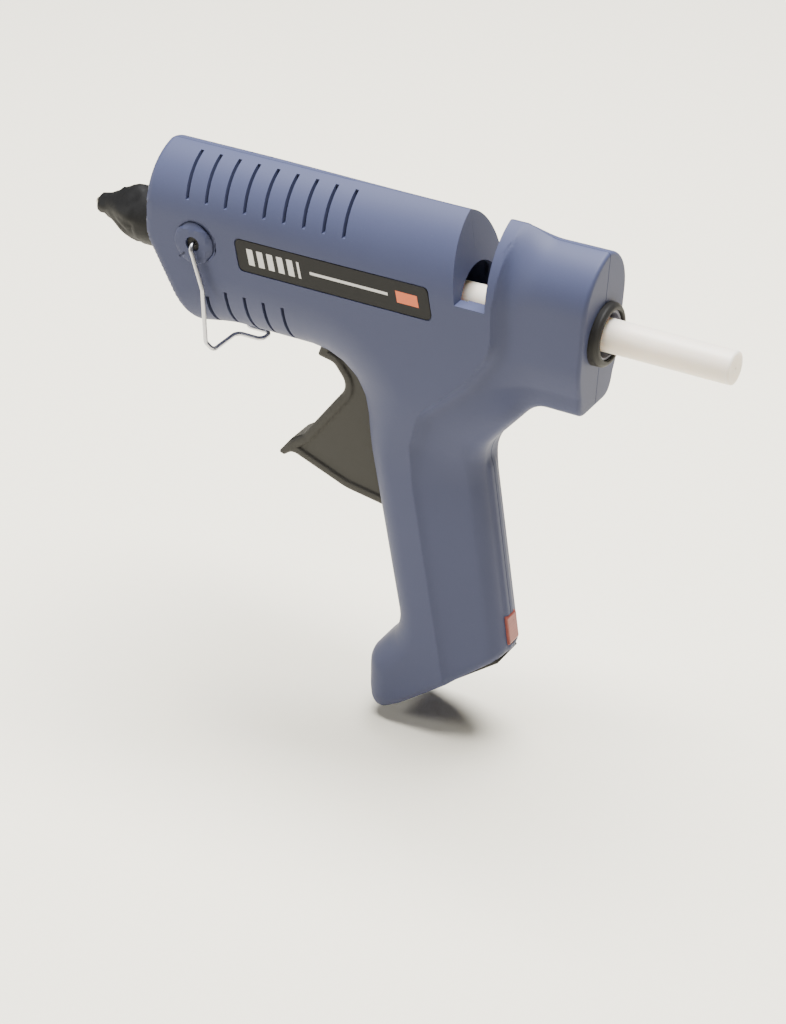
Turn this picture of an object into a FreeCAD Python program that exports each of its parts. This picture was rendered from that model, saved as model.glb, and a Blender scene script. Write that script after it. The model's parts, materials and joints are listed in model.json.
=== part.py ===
import FreeCAD, Part
import math
import os
import Sketcher

# Cordless hot-melt glue gun for 11 mm sticks.
# Every piece is drawn in the gun's own axes: X runs back from the nozzle tip, Y to the gun's
# right, Z up from the glue stick's centre line.  origin_x and axis_height then move each piece
# to the frame, whose origin is under the middle of the gun at the level of the handle's toe.

doc = FreeCAD.newDocument("GlueGun")
sheet = doc.addObject("Spreadsheet::Sheet", "Sizes")
V = FreeCAD.Vector


class Dim:
    """A length in mm that knows its value and the sheet expression that gives it."""

    def __init__(self, value, text):
        self.value = value
        self.text = text

    def _with(self, other, sign, flip=False):
        other = dim(other)
        first, second = (other, self) if flip else (self, other)
        value = {"+": first.value + second.value,
                 "-": first.value - second.value,
                 "*": first.value * second.value,
                 "/": first.value / second.value if second.value else 0.0}[sign]
        return Dim(value, "(%s %s %s)" % (first.text, sign, second.text))

    def __add__(self, other):
        return self._with(other, "+")

    def __sub__(self, other):
        return self._with(other, "-")

    def __mul__(self, other):
        return self._with(other, "*")

    def __truediv__(self, other):
        return self._with(other, "/")

    def __radd__(self, other):
        return self._with(other, "+", True)

    def __rsub__(self, other):
        return self._with(other, "-", True)

    def __rmul__(self, other):
        return self._with(other, "*", True)

    def __neg__(self):
        return 0 - self


def dim(number):
    if isinstance(number, Dim):
        return number
    return Dim(float(number), "%.4f" % number)


def size(alias, value):
    """Write one driving dimension in the sheet and return it as a Dim."""
    size.row += 1
    sheet.set("A%d" % size.row, alias)
    sheet.set("B%d" % size.row, str(value))
    sheet.setAlias("B%d" % size.row, alias)
    return Dim(float(value), "Sizes.%s" % alias)


size.row = 0

# frame
origin_x = size("OriginBehindTip", 118.5)
axis_height = size("AxisAboveToe", 164.2)
# housing
wall = size("ShellWall", 2.4)
barrel_radius = size("BarrelHalfWidth", 16.5)
barrel_top = size("BarrelTop", 29.2)
barrel_bottom = size("BarrelBottom", 29.8)
barrel_front = size("BarrelFront", 30.0)
gap_front = size("GapFront", 147.6)
gap_rear = size("GapRear", 158.4)
gap_floor = size("GapFloor", 5.6)
collar_top = size("CollarTop", 31.4)
tail_half = size("TailHalfWidth", 14.3)
tail_top = size("TailTop", 28.7)
tail_bottom = size("TailBottom", 26.8)
tail_end = size("TailEnd", 191.5)
tail_root = size("TailRoot", 174.0)
collar_back = size("CollarBack", 166.0)
heel_x = size("HeelBehindTip", 164.0)
foot_x = size("FootPlateBehindTip", 149.5)
grip_half = size("GripHalfWidth", 14.5)
grip_back_half = size("GripBackHalfWidth", 8.0)
grip_top_front = size("GripTopFront", 109.0)
grip_slope = size("GripSlope", 0.166)
grip_depth = size("GripDepth", 42.0)
foot_slope = size("FootSlope", 0.757)
# glue path
stick_radius = size("StickRadius", 5.5)
stick_front = size("StickFront", 60.0)
stick_end = size("StickEnd", 237.0)
path_clearance = size("StickClearance", 0.3)
chamber_radius = size("ChamberRadius", 9.0)
chamber_front = size("ChamberFront", 33.0)
chamber_rear = size("ChamberRear", 80.0)
spigot_length = size("SpigotLength", 6.0)
spigot_wall = size("SpigotWall", 1.4)
orifice_radius = size("OrificeRadius", 0.6)
tip_radius = size("TipRadius", 1.1)
neck_radius = size("NozzleNeckRadius", 3.55)
sleeve_radius = size("NozzleSleeveRadius", 9.0)
flange_radius = size("NozzleFlangeRadius", 10.2)
# feed
pivot_x = size("TriggerPivotBehindTip", 110.0)
pivot_drop = size("TriggerPivotDrop", 17.0)
pin_rise = size("FeedPinRise", 11.0)
lean = size("FeedPinLean", 5.44)
pin_radius = size("PivotPinRadius", 2.0)
feed_pin_radius = size("FeedPinRadius", 1.5)
running = size("RunningFit", 0.05)
moving = size("MovingClearance", 0.4)
trigger_half = size("TriggerHalfWidth", 6.8)
carriage_half = size("CarriageHalfWidth", 8.0)
carriage_length = size("CarriageLength", 18.0)
arm_thick = size("ArmThickness", 1.8)
rod_radius = size("SpringRodRadius", 1.2)
rod_rise = size("SpringRodRise", 17.5)
# wire stand
wire_radius = size("StandWireRadius", 0.75)
boss_x = size("BossBehindTip", 49.8)
boss_rise = size("BossRise", 3.0)
boss_radius = size("BossRadius", 7.0)
boss_proud = size("BossProud", 0.7)
stand_half = size("StandHalfWidth", 18.6)
stand_drop = size("StandDrop", 37.3)
stand_rake = size("StandRake", 7.0)
tongue_length = size("StandTongueLength", 10.0)
tongue_half = size("StandTongueHalfWidth", 2.9)
# fastening and trim
screw_radius = size("ScrewRadius", 1.4)
screw_head_radius = size("ScrewHeadRadius", 2.8)
post_radius = size("ScrewPostRadius", 3.6)
label_thick = size("LabelThickness", 0.5)
label_high = size("LabelHeight", 11.0)
label_long = size("LabelLength", 72.0)
vent_width = size("VentWidth", 1.7)
vent_pitch = size("VentPitch", 7.35)
ring_wall = size("RingWall", 2.3)
lining_wall = size("LiningWall", 2.4)
ring_proud = size("RingProud", 2.7)
socket_radius = size("SocketRadius", 2.0)
socket_depth = size("SocketDepth", 10.0)
doc.recompute()


# ---- drawing helpers ----

def bind(obj, path, length):
    obj.setExpression(path, dim(length).text)


def new_body(name):
    body = doc.addObject("PartDesign::Body", name)
    body.Label = name
    return body


def sketch_on(body, role, at):
    """Sketch on one of the body's own origin planes, moved by `at` in the sketch's axes."""
    sketch = body.newObject("Sketcher::SketchObject", body.Name + "_sketch")
    plane = [f for f in body.Origin.OriginFeatures if f.Role == role][0]
    sketch.AttachmentSupport = (plane, [""])
    sketch.MapMode = "FlatFace"
    values = [dim(a).value for a in at]
    sketch.AttachmentOffset = FreeCAD.Placement(V(*values), FreeCAD.Rotation())
    for letter, length in zip("xyz", at):
        bind(sketch, "AttachmentOffset.Base." + letter, length)
    return sketch


def fix_point(sketch, geo, end, point):
    for kind, length in zip(("DistanceX", "DistanceY"), point):
        length = dim(length)
        number = sketch.addConstraint(Sketcher.Constraint(kind, -1, 1, geo, end, length.value))
        sketch.setExpression("Constraints[%d]" % number, length.text)


def draw_outline(sketch, corners):
    """Closed outline of straight lines; a corner is (a, b) or (a, b, radius)."""
    count = len(corners)
    points = [V(dim(c[0]).value, dim(c[1]).value, 0) for c in corners]
    radii = [dim(c[2]) if len(c) > 2 else None for c in corners]
    arcs = []
    for i, here in enumerate(points):
        if radii[i] is None:
            arcs.append(None)
            continue
        back = (points[i - 1] - here).normalize()
        ahead = (points[(i + 1) % count] - here).normalize()
        half = back.getAngle(ahead) / 2
        reach = radii[i].value / math.tan(half)
        middle = here + (back + ahead).normalize() * (radii[i].value / math.sin(half))
        arcs.append((here + back * reach, here + ahead * reach, middle))
    lines = []
    for i in range(count):
        start = arcs[i][1] if arcs[i] else points[i]
        following = (i + 1) % count
        end = arcs[following][0] if arcs[following] else points[following]
        lines.append(sketch.addGeometry(Part.LineSegment(start, end), False))
    for i in range(count):
        before, after = lines[i - 1], lines[i]
        if arcs[i] is None:
            sketch.addConstraint(Sketcher.Constraint("Coincident", before, 2, after, 1))
            fix_point(sketch, after, 1, corners[i][:2])
            continue
        first, last, middle = arcs[i]
        angles = [math.atan2(p.y - middle.y, p.x - middle.x) for p in (first, last)]
        turn = (angles[1] - angles[0]) % (2 * math.pi)
        ahead_first = turn < math.pi
        if not ahead_first:
            angles.reverse()
        circle = Part.Circle(middle, V(0, 0, 1), radii[i].value)
        arc = sketch.addGeometry(Part.ArcOfCircle(circle, angles[0], angles[1]), False)
        first_end, last_end = (1, 2) if ahead_first else (2, 1)
        sketch.addConstraint(Sketcher.Constraint("Tangent", before, 2, arc, first_end))
        sketch.addConstraint(Sketcher.Constraint("Tangent", arc, last_end, after, 1))
        number = sketch.addConstraint(Sketcher.Constraint("Radius", arc, radii[i].value))
        sketch.setExpression("Constraints[%d]" % number, radii[i].text)
        corner = sketch.addGeometry(Part.Point(points[i]), True)
        sketch.addConstraint(Sketcher.Constraint("PointOnObject", corner, 1, before))
        sketch.addConstraint(Sketcher.Constraint("PointOnObject", corner, 1, after))
        fix_point(sketch, corner, 1, corners[i][:2])


def draw_circle(sketch, centre, radius):
    radius = dim(radius)
    at = V(dim(centre[0]).value, dim(centre[1]).value, 0)
    geo = sketch.addGeometry(Part.Circle(at, V(0, 0, 1), radius.value), False)
    number = sketch.addConstraint(Sketcher.Constraint("Radius", geo, radius.value))
    sketch.setExpression("Constraints[%d]" % number, radius.text)
    fix_point(sketch, geo, 3, centre)


def pad(name, role, low, high, corners=(), circle=None):
    """Solid between two levels along the plane's normal: XY_Plane pads along Z,
    YZ_Plane along X and XZ_Plane along Y."""
    body = new_body(name)
    level = -dim(high) if role == "XZ_Plane" else low
    sketch = sketch_on(body, role, (0, 0, level))
    if circle:
        draw_circle(sketch, circle[:2], circle[2])
    else:
        draw_outline(sketch, corners)
    feature = body.newObject("PartDesign::Pad", name + "_pad")
    feature.Profile = sketch
    bind(feature, "Length", dim(high) - low)
    return body


def turned(name, profile, centre=(0, 0)):
    """Solid of revolution about a line along X; profile is (x, radius) pairs."""
    body = new_body(name)
    sketch = sketch_on(body, "XZ_Plane", (0, centre[1], -dim(centre[0])))
    draw_outline(sketch, profile)
    feature = body.newObject("PartDesign::Revolution", name + "_turn")
    feature.Profile = sketch
    feature.ReferenceAxis = (sketch, ["H_Axis"])
    feature.Angle = 360.0
    return body


def tube(name, front, rear, outer, inner, centre=(0, 0)):
    """A plain ring or tube along X."""
    corners = [(front, inner), (rear, inner), (rear, outer), (front, outer)]
    return turned(name, corners, centre)


def bar(name, front, rear, radius, centre=(0, 0)):
    """A round bar along X."""
    return pad(name, "YZ_Plane", front, rear, circle=(centre[0], centre[1], radius))


def cross(name, low, high, radius, centre):
    """A round bar along Y at centre (x, z)."""
    return pad(name, "XZ_Plane", low, high, circle=(centre[0], centre[1], radius))


def block(name, x_from, x_to, half_width, z_from, z_to):
    corners = [(x_from, z_from), (x_to, z_from), (x_to, z_to), (x_from, z_to)]
    return pad(name, "XZ_Plane", -dim(half_width), half_width, corners)


def loft(name, sections):
    """Straight loft through horizontal sections: [(level, corners), ...]."""
    body = new_body(name)
    sketches = []
    for level, corners in sections:
        sketch = sketch_on(body, "XY_Plane", (0, 0, level))
        draw_outline(sketch, corners)
        sketches.append(sketch)
    feature = body.newObject("PartDesign::AdditiveLoft", name + "_loft")
    feature.Profile = sketches[0]
    feature.Sections = sketches[1:]
    feature.Ruled = True
    return body


def fuse(name, pieces):
    obj = doc.addObject("Part::MultiFuse", name)
    obj.Shapes = pieces
    obj.Label = name
    return obj


def common(name, pieces):
    obj = doc.addObject("Part::MultiCommon", name)
    obj.Shapes = pieces
    obj.Label = name
    return obj


def cut(name, base, tool):
    obj = doc.addObject("Part::Cut", name)
    obj.Base = base
    obj.Tool = fuse(name + "_tools", tool) if isinstance(tool, list) else tool
    obj.Label = name
    return obj


nodes = []


def node(obj):
    """Take a finished piece: put it in the frame and list it for export."""
    bind(obj, "Placement.Base.x", -origin_x)
    bind(obj, "Placement.Base.z", axis_height)
    nodes.append(obj)
    return obj


# ---- housing: outline seen from the side, cross-sections, hollow, openings ----

grip_top = -36.0
crease_back = 18.6
front_rounding = 3.5


def grip_front(level):
    return grip_top_front + (grip_top - dim(level)) * grip_slope


def grip_back(level):
    return grip_front(level) + grip_depth - (dim(grip_top) - level) * 0.03


toe_bottom = -axis_height
toe_rounding = 1.43  # how far the toe's rounded corner stands above its sharp one
heel_level = toe_bottom + (heel_x - 115.0) * foot_slope


def side_outline(inset):
    """Side view, counter-clockwise from the front lower corner, moved in by `inset`."""
    i = dim(inset)
    return [
        (barrel_front - 0.4 + i, -2.5, 6.0),
        (barrel_front + 15.0 + i * 0.8, -barrel_bottom + i, 5.0),
        (grip_top_front - 2.0 + i, -barrel_bottom + i, 5.0),
        (grip_front(-126.0) + i, -126.0, 8.0),
        (barrel_front + 82.0 + i, -142.0, 8.0),
        (barrel_front + 81.0 + i, toe_bottom + 6.5 + i * 0.3, 5.0),
        (115.0 + i * 0.7, toe_bottom - toe_rounding + i * 1.3, 3.0),
        (heel_x - i, heel_level + i * 0.5, 5.0),
        (grip_back(-52.0) - i, -50.0, 5.0),
        (tail_root - i * 0.2, -tail_bottom + i, 6.0),
        (tail_end - 1.6 - i, -tail_bottom + i, 2.0),
        (tail_end + 1.8 - i, tail_top - i, 1.5),
        (tail_root, tail_top - i, 8.0),
        (collar_back - i * 0.2, collar_top - i, 2.0),
        (gap_rear + 2.6 + i, collar_top - i, 1.0),
        (gap_rear + i, gap_floor - i),
        (gap_front - i, gap_floor - i),
        (gap_front - 3.2 - i, barrel_top - i, 1.0),
        (barrel_front + 0.4 + i, barrel_top - i, 3.0),
    ]


def stadium(half, top, bottom):
    """Round-ended cross-section in Y, Z."""
    rounding = dim(half) - 0.02
    return [(-dim(half), -dim(bottom), rounding), (half, -dim(bottom), rounding),
            (half, top, rounding), (-dim(half), top, rounding)]


def grip_section(level, i, half=None, front=None, crease=None, back=None, back_half=None):
    """Horizontal section of the grip: round in front, a crease on each side, narrower behind."""
    front = (grip_front(level) if front is None else dim(front)) + i
    back = (grip_back(level) if back is None else dim(back)) - i
    crease = grip_front(level) + crease_back if crease is None else dim(crease)
    half = (grip_half if half is None else half) - i
    back_half = (grip_back_half if back_half is None else back_half) - i * 0.5
    return [(front, -half, 9.0), (crease, -half, 0.6), (back, -back_half, 4.0),
            (back, back_half, 4.0), (crease, half, 0.6), (front, half, 9.0)]


# sections of the grip from the barrel down: the panel's full width at the top, the plain grip
# in the middle, and the toe standing forward at the bottom
grip_sections = [
    (-8.0, {"half": barrel_radius - 0.1, "crease": 160.0, "back": 170.0, "back_half": tail_half}),
    (-32.0, {"half": barrel_radius - 0.7, "crease": 150.0, "back": 168.0, "back_half": tail_half}),
    (-50.0, {"half": grip_half + 0.5, "crease": 131.6, "back": 156.0, "back_half": grip_back_half + 3.0}),
    (-66.0, {}), (-118.0, {}), (-132.0, {"front": 121.8}), (-143.5, {"front": 112.6}),
    (-156.0, {"front": 110.9}), (-168.0, {"front": 112.6})]

# the crease between the side panel and the recessed tail, from the grip up to the crown
crease_line = [(131.4, -66.0), (130.9, -51.0), (136.4, -36.5), (151.0, -22.6), (161.0, -9.0),
               (161.7, 6.0), (163.4, 22.0), (167.4, 36.0)]
# how far the recess goes in from the panel's side, and how far back it does so
recess_sweep = [(-1.6, -1.2), (0.0, 0.0), (1.0, 1.4), (1.7, 3.6), (2.15, 7.0)]


def recess(name, side):
    """Cutter for the concave sweep behind the crease, on one side."""
    body = new_body(name)
    sketches = []
    for depth, back in recess_sweep:
        level = (barrel_radius - depth) * side
        sketch = sketch_on(body, "XZ_Plane", (0, 0, -level))
        corners = [(220.0, -66.0), (220.0, 36.0)]
        corners += [(x + back, z, 6.0) if 0 < k < len(crease_line) - 1 else (x + back, z)
                    for k, (x, z) in enumerate(reversed(crease_line))]
        draw_outline(sketch, corners)
        sketches.append(sketch)
    feature = body.newObject("PartDesign::AdditiveLoft", name + "_loft")
    feature.Profile = sketches[0]
    feature.Sections = sketches[1:]
    feature.Ruled = True
    return body


def housing_volume(name, i):
    """The whole body's volume, `i` inside the outer surface."""
    i = dim(i)
    mask = pad(name + "_side", "XZ_Plane", -20.0, 20.0, side_outline(i))
    sections = [
        pad(name + "_barrel", "YZ_Plane", barrel_front - 10.0, collar_back,
            stadium(barrel_radius - i, barrel_top - i, barrel_bottom - i)),
        pad(name + "_collar", "YZ_Plane", gap_rear, tail_root - i,
            stadium(barrel_radius - i * 1.9, collar_top - i, barrel_bottom - i)),
        pad(name + "_tail", "YZ_Plane", 160.0, tail_end + 8.0,
            stadium(tail_half - i, tail_top - i, tail_bottom - i)),
        block(name + "_neck", 140.0, 186.0, tail_half - i, -50.0, -10.0),
        loft(name + "_grip", [(z, grip_section(z, i, **shape)) for z, shape in grip_sections]),
    ]
    plan = pad(name + "_plan", "XY_Plane", -200.0, 60.0, [
        (barrel_front - 0.4 + i, -barrel_radius + i, front_rounding), (230.0, -barrel_radius + i),
        (230.0, barrel_radius - i), (barrel_front - 0.4 + i, barrel_radius - i, front_rounding)])
    return common(name, [mask, plan, fuse(name + "_sections", sections)])


outer = cut("outer", housing_volume("outer_full", 0.0), [recess("recess_left", -1), recess("recess_right", 1)])
inner = housing_volume("inner", wall)

# screw places (x, z), all clear of the glue path, the trigger's sweep and the leads
screws = [(72.0, 22.0), (138.5, 21.0), (66.0, -22.5), (181.0, 18.5),
          (173.0, -18.5), (133.0, -100.0), (132.0, -143.0)]
reach = barrel_radius + boss_proud + 2.0
posts = []
for k, (x, z) in enumerate(screws):
    posts.append(cross("post_%d" % k, -reach, reach, post_radius, (x, z)))
for k, side in enumerate((-1, 1)):
    near, far = sorted((dim(side * 11.2), dim(side) * reach), key=lambda d: d.value)
    posts.append(cross("pivot_post_%d" % k, near, far, pin_radius + 2.4, (pivot_x, -pivot_drop)))
rod_standoff = 14.0
rod_rib_front = chamber_rear + rod_standoff - 3.5
rod_rib_rear = pivot_x + lean + carriage_length - 2.0
for k, x in enumerate((rod_rib_front, rod_rib_rear)):
    posts.append(block("rod_rib_%d" % k, x, x + 2.0, barrel_radius, pin_rise + 3.0, barrel_top))
inside_posts = common("inside_posts", [fuse("all_posts", posts), outer])

bosses = cross("bosses", -(barrel_radius + boss_proud), barrel_radius + boss_proud,
               boss_radius, (boss_x, boss_rise))
boss_hollow = cross("boss_hollow", -(barrel_radius - 6.0), barrel_radius - 6.0,
                    boss_radius + 1.0, (boss_x, boss_rise))
boss_pads = cut("boss_pads", bosses, boss_hollow)
hollow_shell = cut("hollow_shell", outer, inner)
solid_shell = fuse("solid_shell", [hollow_shell, inside_posts, boss_pads])

lining_radius = stick_radius + path_clearance + lining_wall
ring_radius = lining_radius + ring_wall
ring_neck = ring_radius - 1.0
tail_face = tail_end - 0.8
openings = []
# nozzle mouth, stick holes through barrel rear, collar and tail
openings.append(bar("mouth", barrel_front - 8.0, barrel_front + 8.0, flange_radius + 0.8))
openings.append(block("stick_window", gap_front - 9.0, gap_rear + 3.0,
                      stick_radius + 5.5, -stick_radius, gap_floor + 0.1))
openings.append(block("rear_face_hole", gap_front - 9.0, gap_front + 1.0,
                      stick_radius + 4.0, 0.0, gap_floor + 7.0))
openings.append(bar("collar_hole", gap_rear - 1.0, gap_rear + 8.0, stick_radius + 1.6))
openings.append(bar("tail_hole", tail_end - 8.0, tail_end + 4.0, ring_neck + 0.05))
openings.append(bar("ring_seat", tail_face, tail_end + 4.0, ring_radius + 0.1))
# trigger slot under the barrel and down the front of the grip
slot_half = trigger_half + moving * 2
openings.append(block("trigger_slot", 89.0, grip_front(-86.0) + 8.0, slot_half, -87.0, -23.5))
# pivot pin seats
openings.append(cross("pivot_hole", -(barrel_radius - 3.2), barrel_radius - 3.2,
                      pin_radius + running, (pivot_x, -pivot_drop)))
# stand bushes' holes
bush_radius = wire_radius + 1.65
openings.append(cross("stand_hole", -reach, reach, bush_radius, (boss_x, boss_rise)))
# screws: clear shank hole, head recess from the right side
shank_end = -(barrel_radius - 6.0)
head_seat = barrel_radius - 8.0
for k, (x, z) in enumerate(screws):
    openings.append(cross("shank_hole_%d" % k, shank_end - 0.5, reach, screw_radius + running, (x, z)))
    openings.append(cross("head_hole_%d" % k, head_seat, reach, screw_head_radius + 0.2, (x, z)))
# cooling slots: nine high on the shoulders, five low
vent_start = boss_x - 2.4
vent_top = barrel_top - 1.0
shoulder = barrel_top - barrel_radius
for k in range(9):
    x = vent_start + vent_pitch * k
    for side in (-1, 1):
        corners = [(side * 5.6, vent_top + 3.0), (side * 20.0, vent_top + 3.0),
                   (side * 20.0, shoulder + 6.8), (side * 5.6, shoulder + 6.8)]
        if side > 0:
            corners.reverse()
        openings.append(pad("vent_%d_%s" % (k, "lr"[side > 0]), "YZ_Plane", x, x + vent_width, corners))
low_shoulder = -(barrel_bottom - barrel_radius)
for k in range(5):
    x = vent_start + 6.6 + vent_pitch * k
    drop = 3.6 if k == 0 else 0.0
    for side in (-1, 1):
        corners = [(side * 6.0, -barrel_bottom - 3.0), (side * 20.0, -barrel_bottom - 3.0),
                   (side * 20.0, low_shoulder + 0.6 - drop), (side * 6.0, low_shoulder + 0.6 - drop)]
        if side < 0:
            corners.reverse()
        openings.append(pad("low_vent_%d_%s" % (k, "lr"[side > 0]), "YZ_Plane",
                            x, x + vent_width, corners))
# label recesses
label_front = boss_x + 15.9
label_top = 8.9
label_slant = 2.0


def label_outline(grow):
    g = dim(grow)
    return [(label_front + label_slant - g, label_top - label_high - g, 2.0),
            (label_front + label_slant + label_long + g, label_top - label_high - g, 2.0),
            (label_front + label_long + g, label_top + g, 2.0),
            (label_front - g, label_top + g, 2.0)]


label_seat = barrel_radius - label_thick - 0.1
for side, tag in ((-1, "left"), (1, "right")):
    low, high = (-barrel_radius - 1.0, -label_seat) if side < 0 else (label_seat, barrel_radius + 1.0)
    openings.append(pad("label_recess_" + tag, "XZ_Plane", low, high, label_outline(0.3)))

# foot: a frame of axes on the sloping underside of the handle
foot_angle = math.degrees(math.atan(foot_slope.value))
foot_level = toe_bottom + (foot_x - 115.0) * foot_slope
plate_half_long = 13.5
plate_half_wide = 7.0
plate_thick = 3.0
plate_proud = 1.2


def tilt(obj):
    """Lay a piece drawn about the foot's centre along the sloping underside."""
    turn = FreeCAD.Rotation(V(0, 1, 0), -foot_angle)
    obj.Placement = FreeCAD.Placement(V(foot_x.value, 0, foot_level.value), turn)
    bind(obj, "Placement.Base.x", foot_x)
    bind(obj, "Placement.Base.z", foot_level)
    bind(obj, "Placement.Rotation.Angle", Dim(0, "atan(Sizes.FootSlope)"))
    obj.setExpression("Placement.Rotation.Axis.y", "-1")
    return obj


openings.append(tilt(block("foot_opening", -plate_half_long - 0.1, plate_half_long + 0.1,
                           plate_half_wide + 0.1, -4.0, 6.0)))
# indicator lens window in the back of the grip
lens_top = -114.2
lens_bottom = -125.2
lens_half = 3.2
openings.append(block("lens_window", grip_back(-120.0) - 6.0, grip_back(-120.0) + 5.0,
                      lens_half, lens_bottom, lens_top))

shell = cut("shell", solid_shell, openings)
left_half = pad("left_half", "XZ_Plane", -30.0, 0.0,
                [(0, -180), (260, -180), (260, 60), (0, 60)])
right_half = pad("right_half", "XZ_Plane", 0.0, 30.0,
                 [(0, -180), (260, -180), (260, 60), (0, 60)])
node(common("left_shell", [shell, left_half]))
node(common("right_shell", [shell, right_half]))

# ---- screws ----
screw_solids = []
for k, (x, z) in enumerate(screws):
    screw_solids.append(cross("screw_shank_%d" % k, shank_end, head_seat + 0.5, screw_radius, (x, z)))
    screw_solids.append(cross("screw_head_%d" % k, head_seat, head_seat + 2.2,
                              screw_head_radius, (x, z)))
driver = [cross("driver_%d" % k, head_seat + 1.0, head_seat + 3.0, 1.1, p)
          for k, p in enumerate(screws)]
node(cut("shell_screws", fuse("screw_blanks", screw_solids), driver))

# ---- labels ----
for side, tag in ((-1, "left"), (1, "right")):
    low, high = (-(label_seat + label_thick), -label_seat) if side < 0 \
        else (label_seat, label_seat + label_thick)
    node(pad(tag + "_label", "XZ_Plane", low, high, label_outline(0.0)))

# ---- nozzle, sleeve, front ring ----
node(turned("nozzle", [
    (0, orifice_radius), (6.0, orifice_radius * 2), (chamber_front + 7.0, orifice_radius * 3.5),
    (chamber_front + 7.0, 4.0), (chamber_front, 4.0), (chamber_front, 7.0), (25.0, 7.0),
    (25.0, 5.6), (13.0, 5.6), (6.3, neck_radius - 1.0), (2.2, neck_radius - 1.0),
    (0, tip_radius)]))
node(turned("nozzle_sleeve", [
    (2.2, neck_radius - 1.0), (6.3, neck_radius - 1.0), (13.0, 5.6), (25.0, 5.6), (25.0, 7.0),
    (chamber_front - 2.0, 7.0), (chamber_front - 2.0, flange_radius), (20.4, flange_radius),
    (20.4, sleeve_radius), (13.5, sleeve_radius), (9.0, neck_radius + 2.2),
    (6.3, neck_radius), (2.2, neck_radius)]))
node(turned("front_ring", [
    (chamber_front - 2.0, 7.6), (chamber_front - 0.3, 7.6), (chamber_front - 0.3, chamber_radius + 0.1),
    (chamber_front + 8.0, chamber_radius + 0.1), (chamber_front + 8.0, flange_radius + 0.6),
    (chamber_front - 2.0, flange_radius + 0.6)]))

# ---- melt chamber and heater ----
bore = stick_radius + path_clearance
spigot_end = chamber_rear + spigot_length
chamber_body = turned("chamber_body", [
    (chamber_front + 8.0, 2.0), (chamber_front + 14.0, bore), (spigot_end, bore),
    (spigot_end, bore + spigot_wall), (chamber_rear, bore + spigot_wall),
    (chamber_rear, chamber_radius), (chamber_front, chamber_radius), (chamber_front, 4.0),
    (chamber_front + 7.0, 4.0), (chamber_front + 7.0, 2.0)])
heater_front = chamber_front + 12.0
heater_rear = heater_front + 32.0
heater_half = 6.5
seat_top = chamber_radius + 2.0
seat = block("heater_seat", heater_front, heater_rear, heater_half, chamber_radius - 2.0, seat_top)
melt_chamber = node(fuse("melt_chamber", [chamber_body, seat]))
plate = 0.6
tablet = 2.2
node(fuse("ptc_elements", [
    block("ptc_%d" % k, heater_front + 1.0 + 15.5 * k, heater_front + 15.0 + 15.5 * k,
          heater_half - 1.0, seat_top + plate, seat_top + plate + tablet) for k in range(2)]))
node(fuse("electrode_plates", [
    block("electrode_%d" % k, heater_front, heater_rear + 1.5, heater_half - 0.6,
          seat_top + (plate + tablet) * k, seat_top + plate + (plate + tablet) * k)
    for k in range(2)]))
film_low = seat_top + plate * 2 + tablet
node(block("insulation_film", heater_front - 1.0, heater_rear + 1.0, heater_half - 0.2,
           film_low, film_low + 0.4))
clip_inside = chamber_radius + 0.05
clip_wall = 0.8
clip_bow = tube("clip_bow", heater_front + 8.0, heater_front + 24.0,
                clip_inside + clip_wall, clip_inside)
clip_trim = block("clip_trim", heater_front + 7.0, heater_front + 25.0, clip_inside + 2.0, 0.0, 20.0)
clip_legs = block("clip_legs", heater_front + 8.0, heater_front + 24.0,
                  clip_inside + clip_wall, 0.0, film_low + 0.4 + clip_wall)
clip_space = block("clip_space", heater_front + 7.0, heater_front + 25.0,
                   clip_inside, -1.0, film_low + 0.4)
node(fuse("heater_clip", [cut("clip_lower", clip_bow, clip_trim),
                          cut("clip_upper", clip_legs, clip_space)]))
sleeve_outer = bore + spigot_wall + 1.5
node(bar("thermal_fuse", heater_rear + 3.0, heater_rear + 13.0, 1.6, (0.0, sleeve_outer + 3.2)))

# ---- inlet sleeve and its clamp ----
sleeve_end = spigot_end + 11.0
node(turned("inlet_sleeve", [
    (chamber_rear + 0.2, bore + spigot_wall), (spigot_end, bore + spigot_wall), (spigot_end, bore),
    (sleeve_end, bore), (sleeve_end, sleeve_outer - 0.8), (spigot_end + 2.0, sleeve_outer),
    (chamber_rear + 0.2, sleeve_outer)]))
node(tube("sleeve_clamp", chamber_rear + 1.6, chamber_rear + 4.6, sleeve_outer + 0.6, sleeve_outer))

# ---- rear guide, ring and lining ----
ring_end = tail_face + ring_proud + 1.6
node(turned("stick_ring", [
    (tail_face - 3.4, lining_radius), (ring_end, lining_radius), (ring_end, ring_radius - 1.0),
    (ring_end - 1.0, ring_radius), (tail_face, ring_radius), (tail_face, ring_neck),
    (tail_face - 3.4, ring_neck)]))
node(turned("ring_lining", [
    (tail_face - 3.4, bore + 1.0), (ring_end - 1.0, bore + 1.5),
    (ring_end - 1.0, lining_radius), (tail_face - 3.4, lining_radius)]))
node(turned("stick_guide", [
    (gap_rear + 9.0, bore), (tail_face - 3.6, bore), (tail_face - 3.6, bore + 3.0),
    (tail_face - 5.2, bore + 3.0), (tail_face - 5.2, bore + 1.4), (gap_rear + 9.0, bore + 1.4)]))

# ---- glue stick ----
node(turned("glue_stick", [
    (stick_front, 0.01), (stick_end, 0.01), (stick_end, stick_radius), (stick_front, stick_radius)]))

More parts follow.
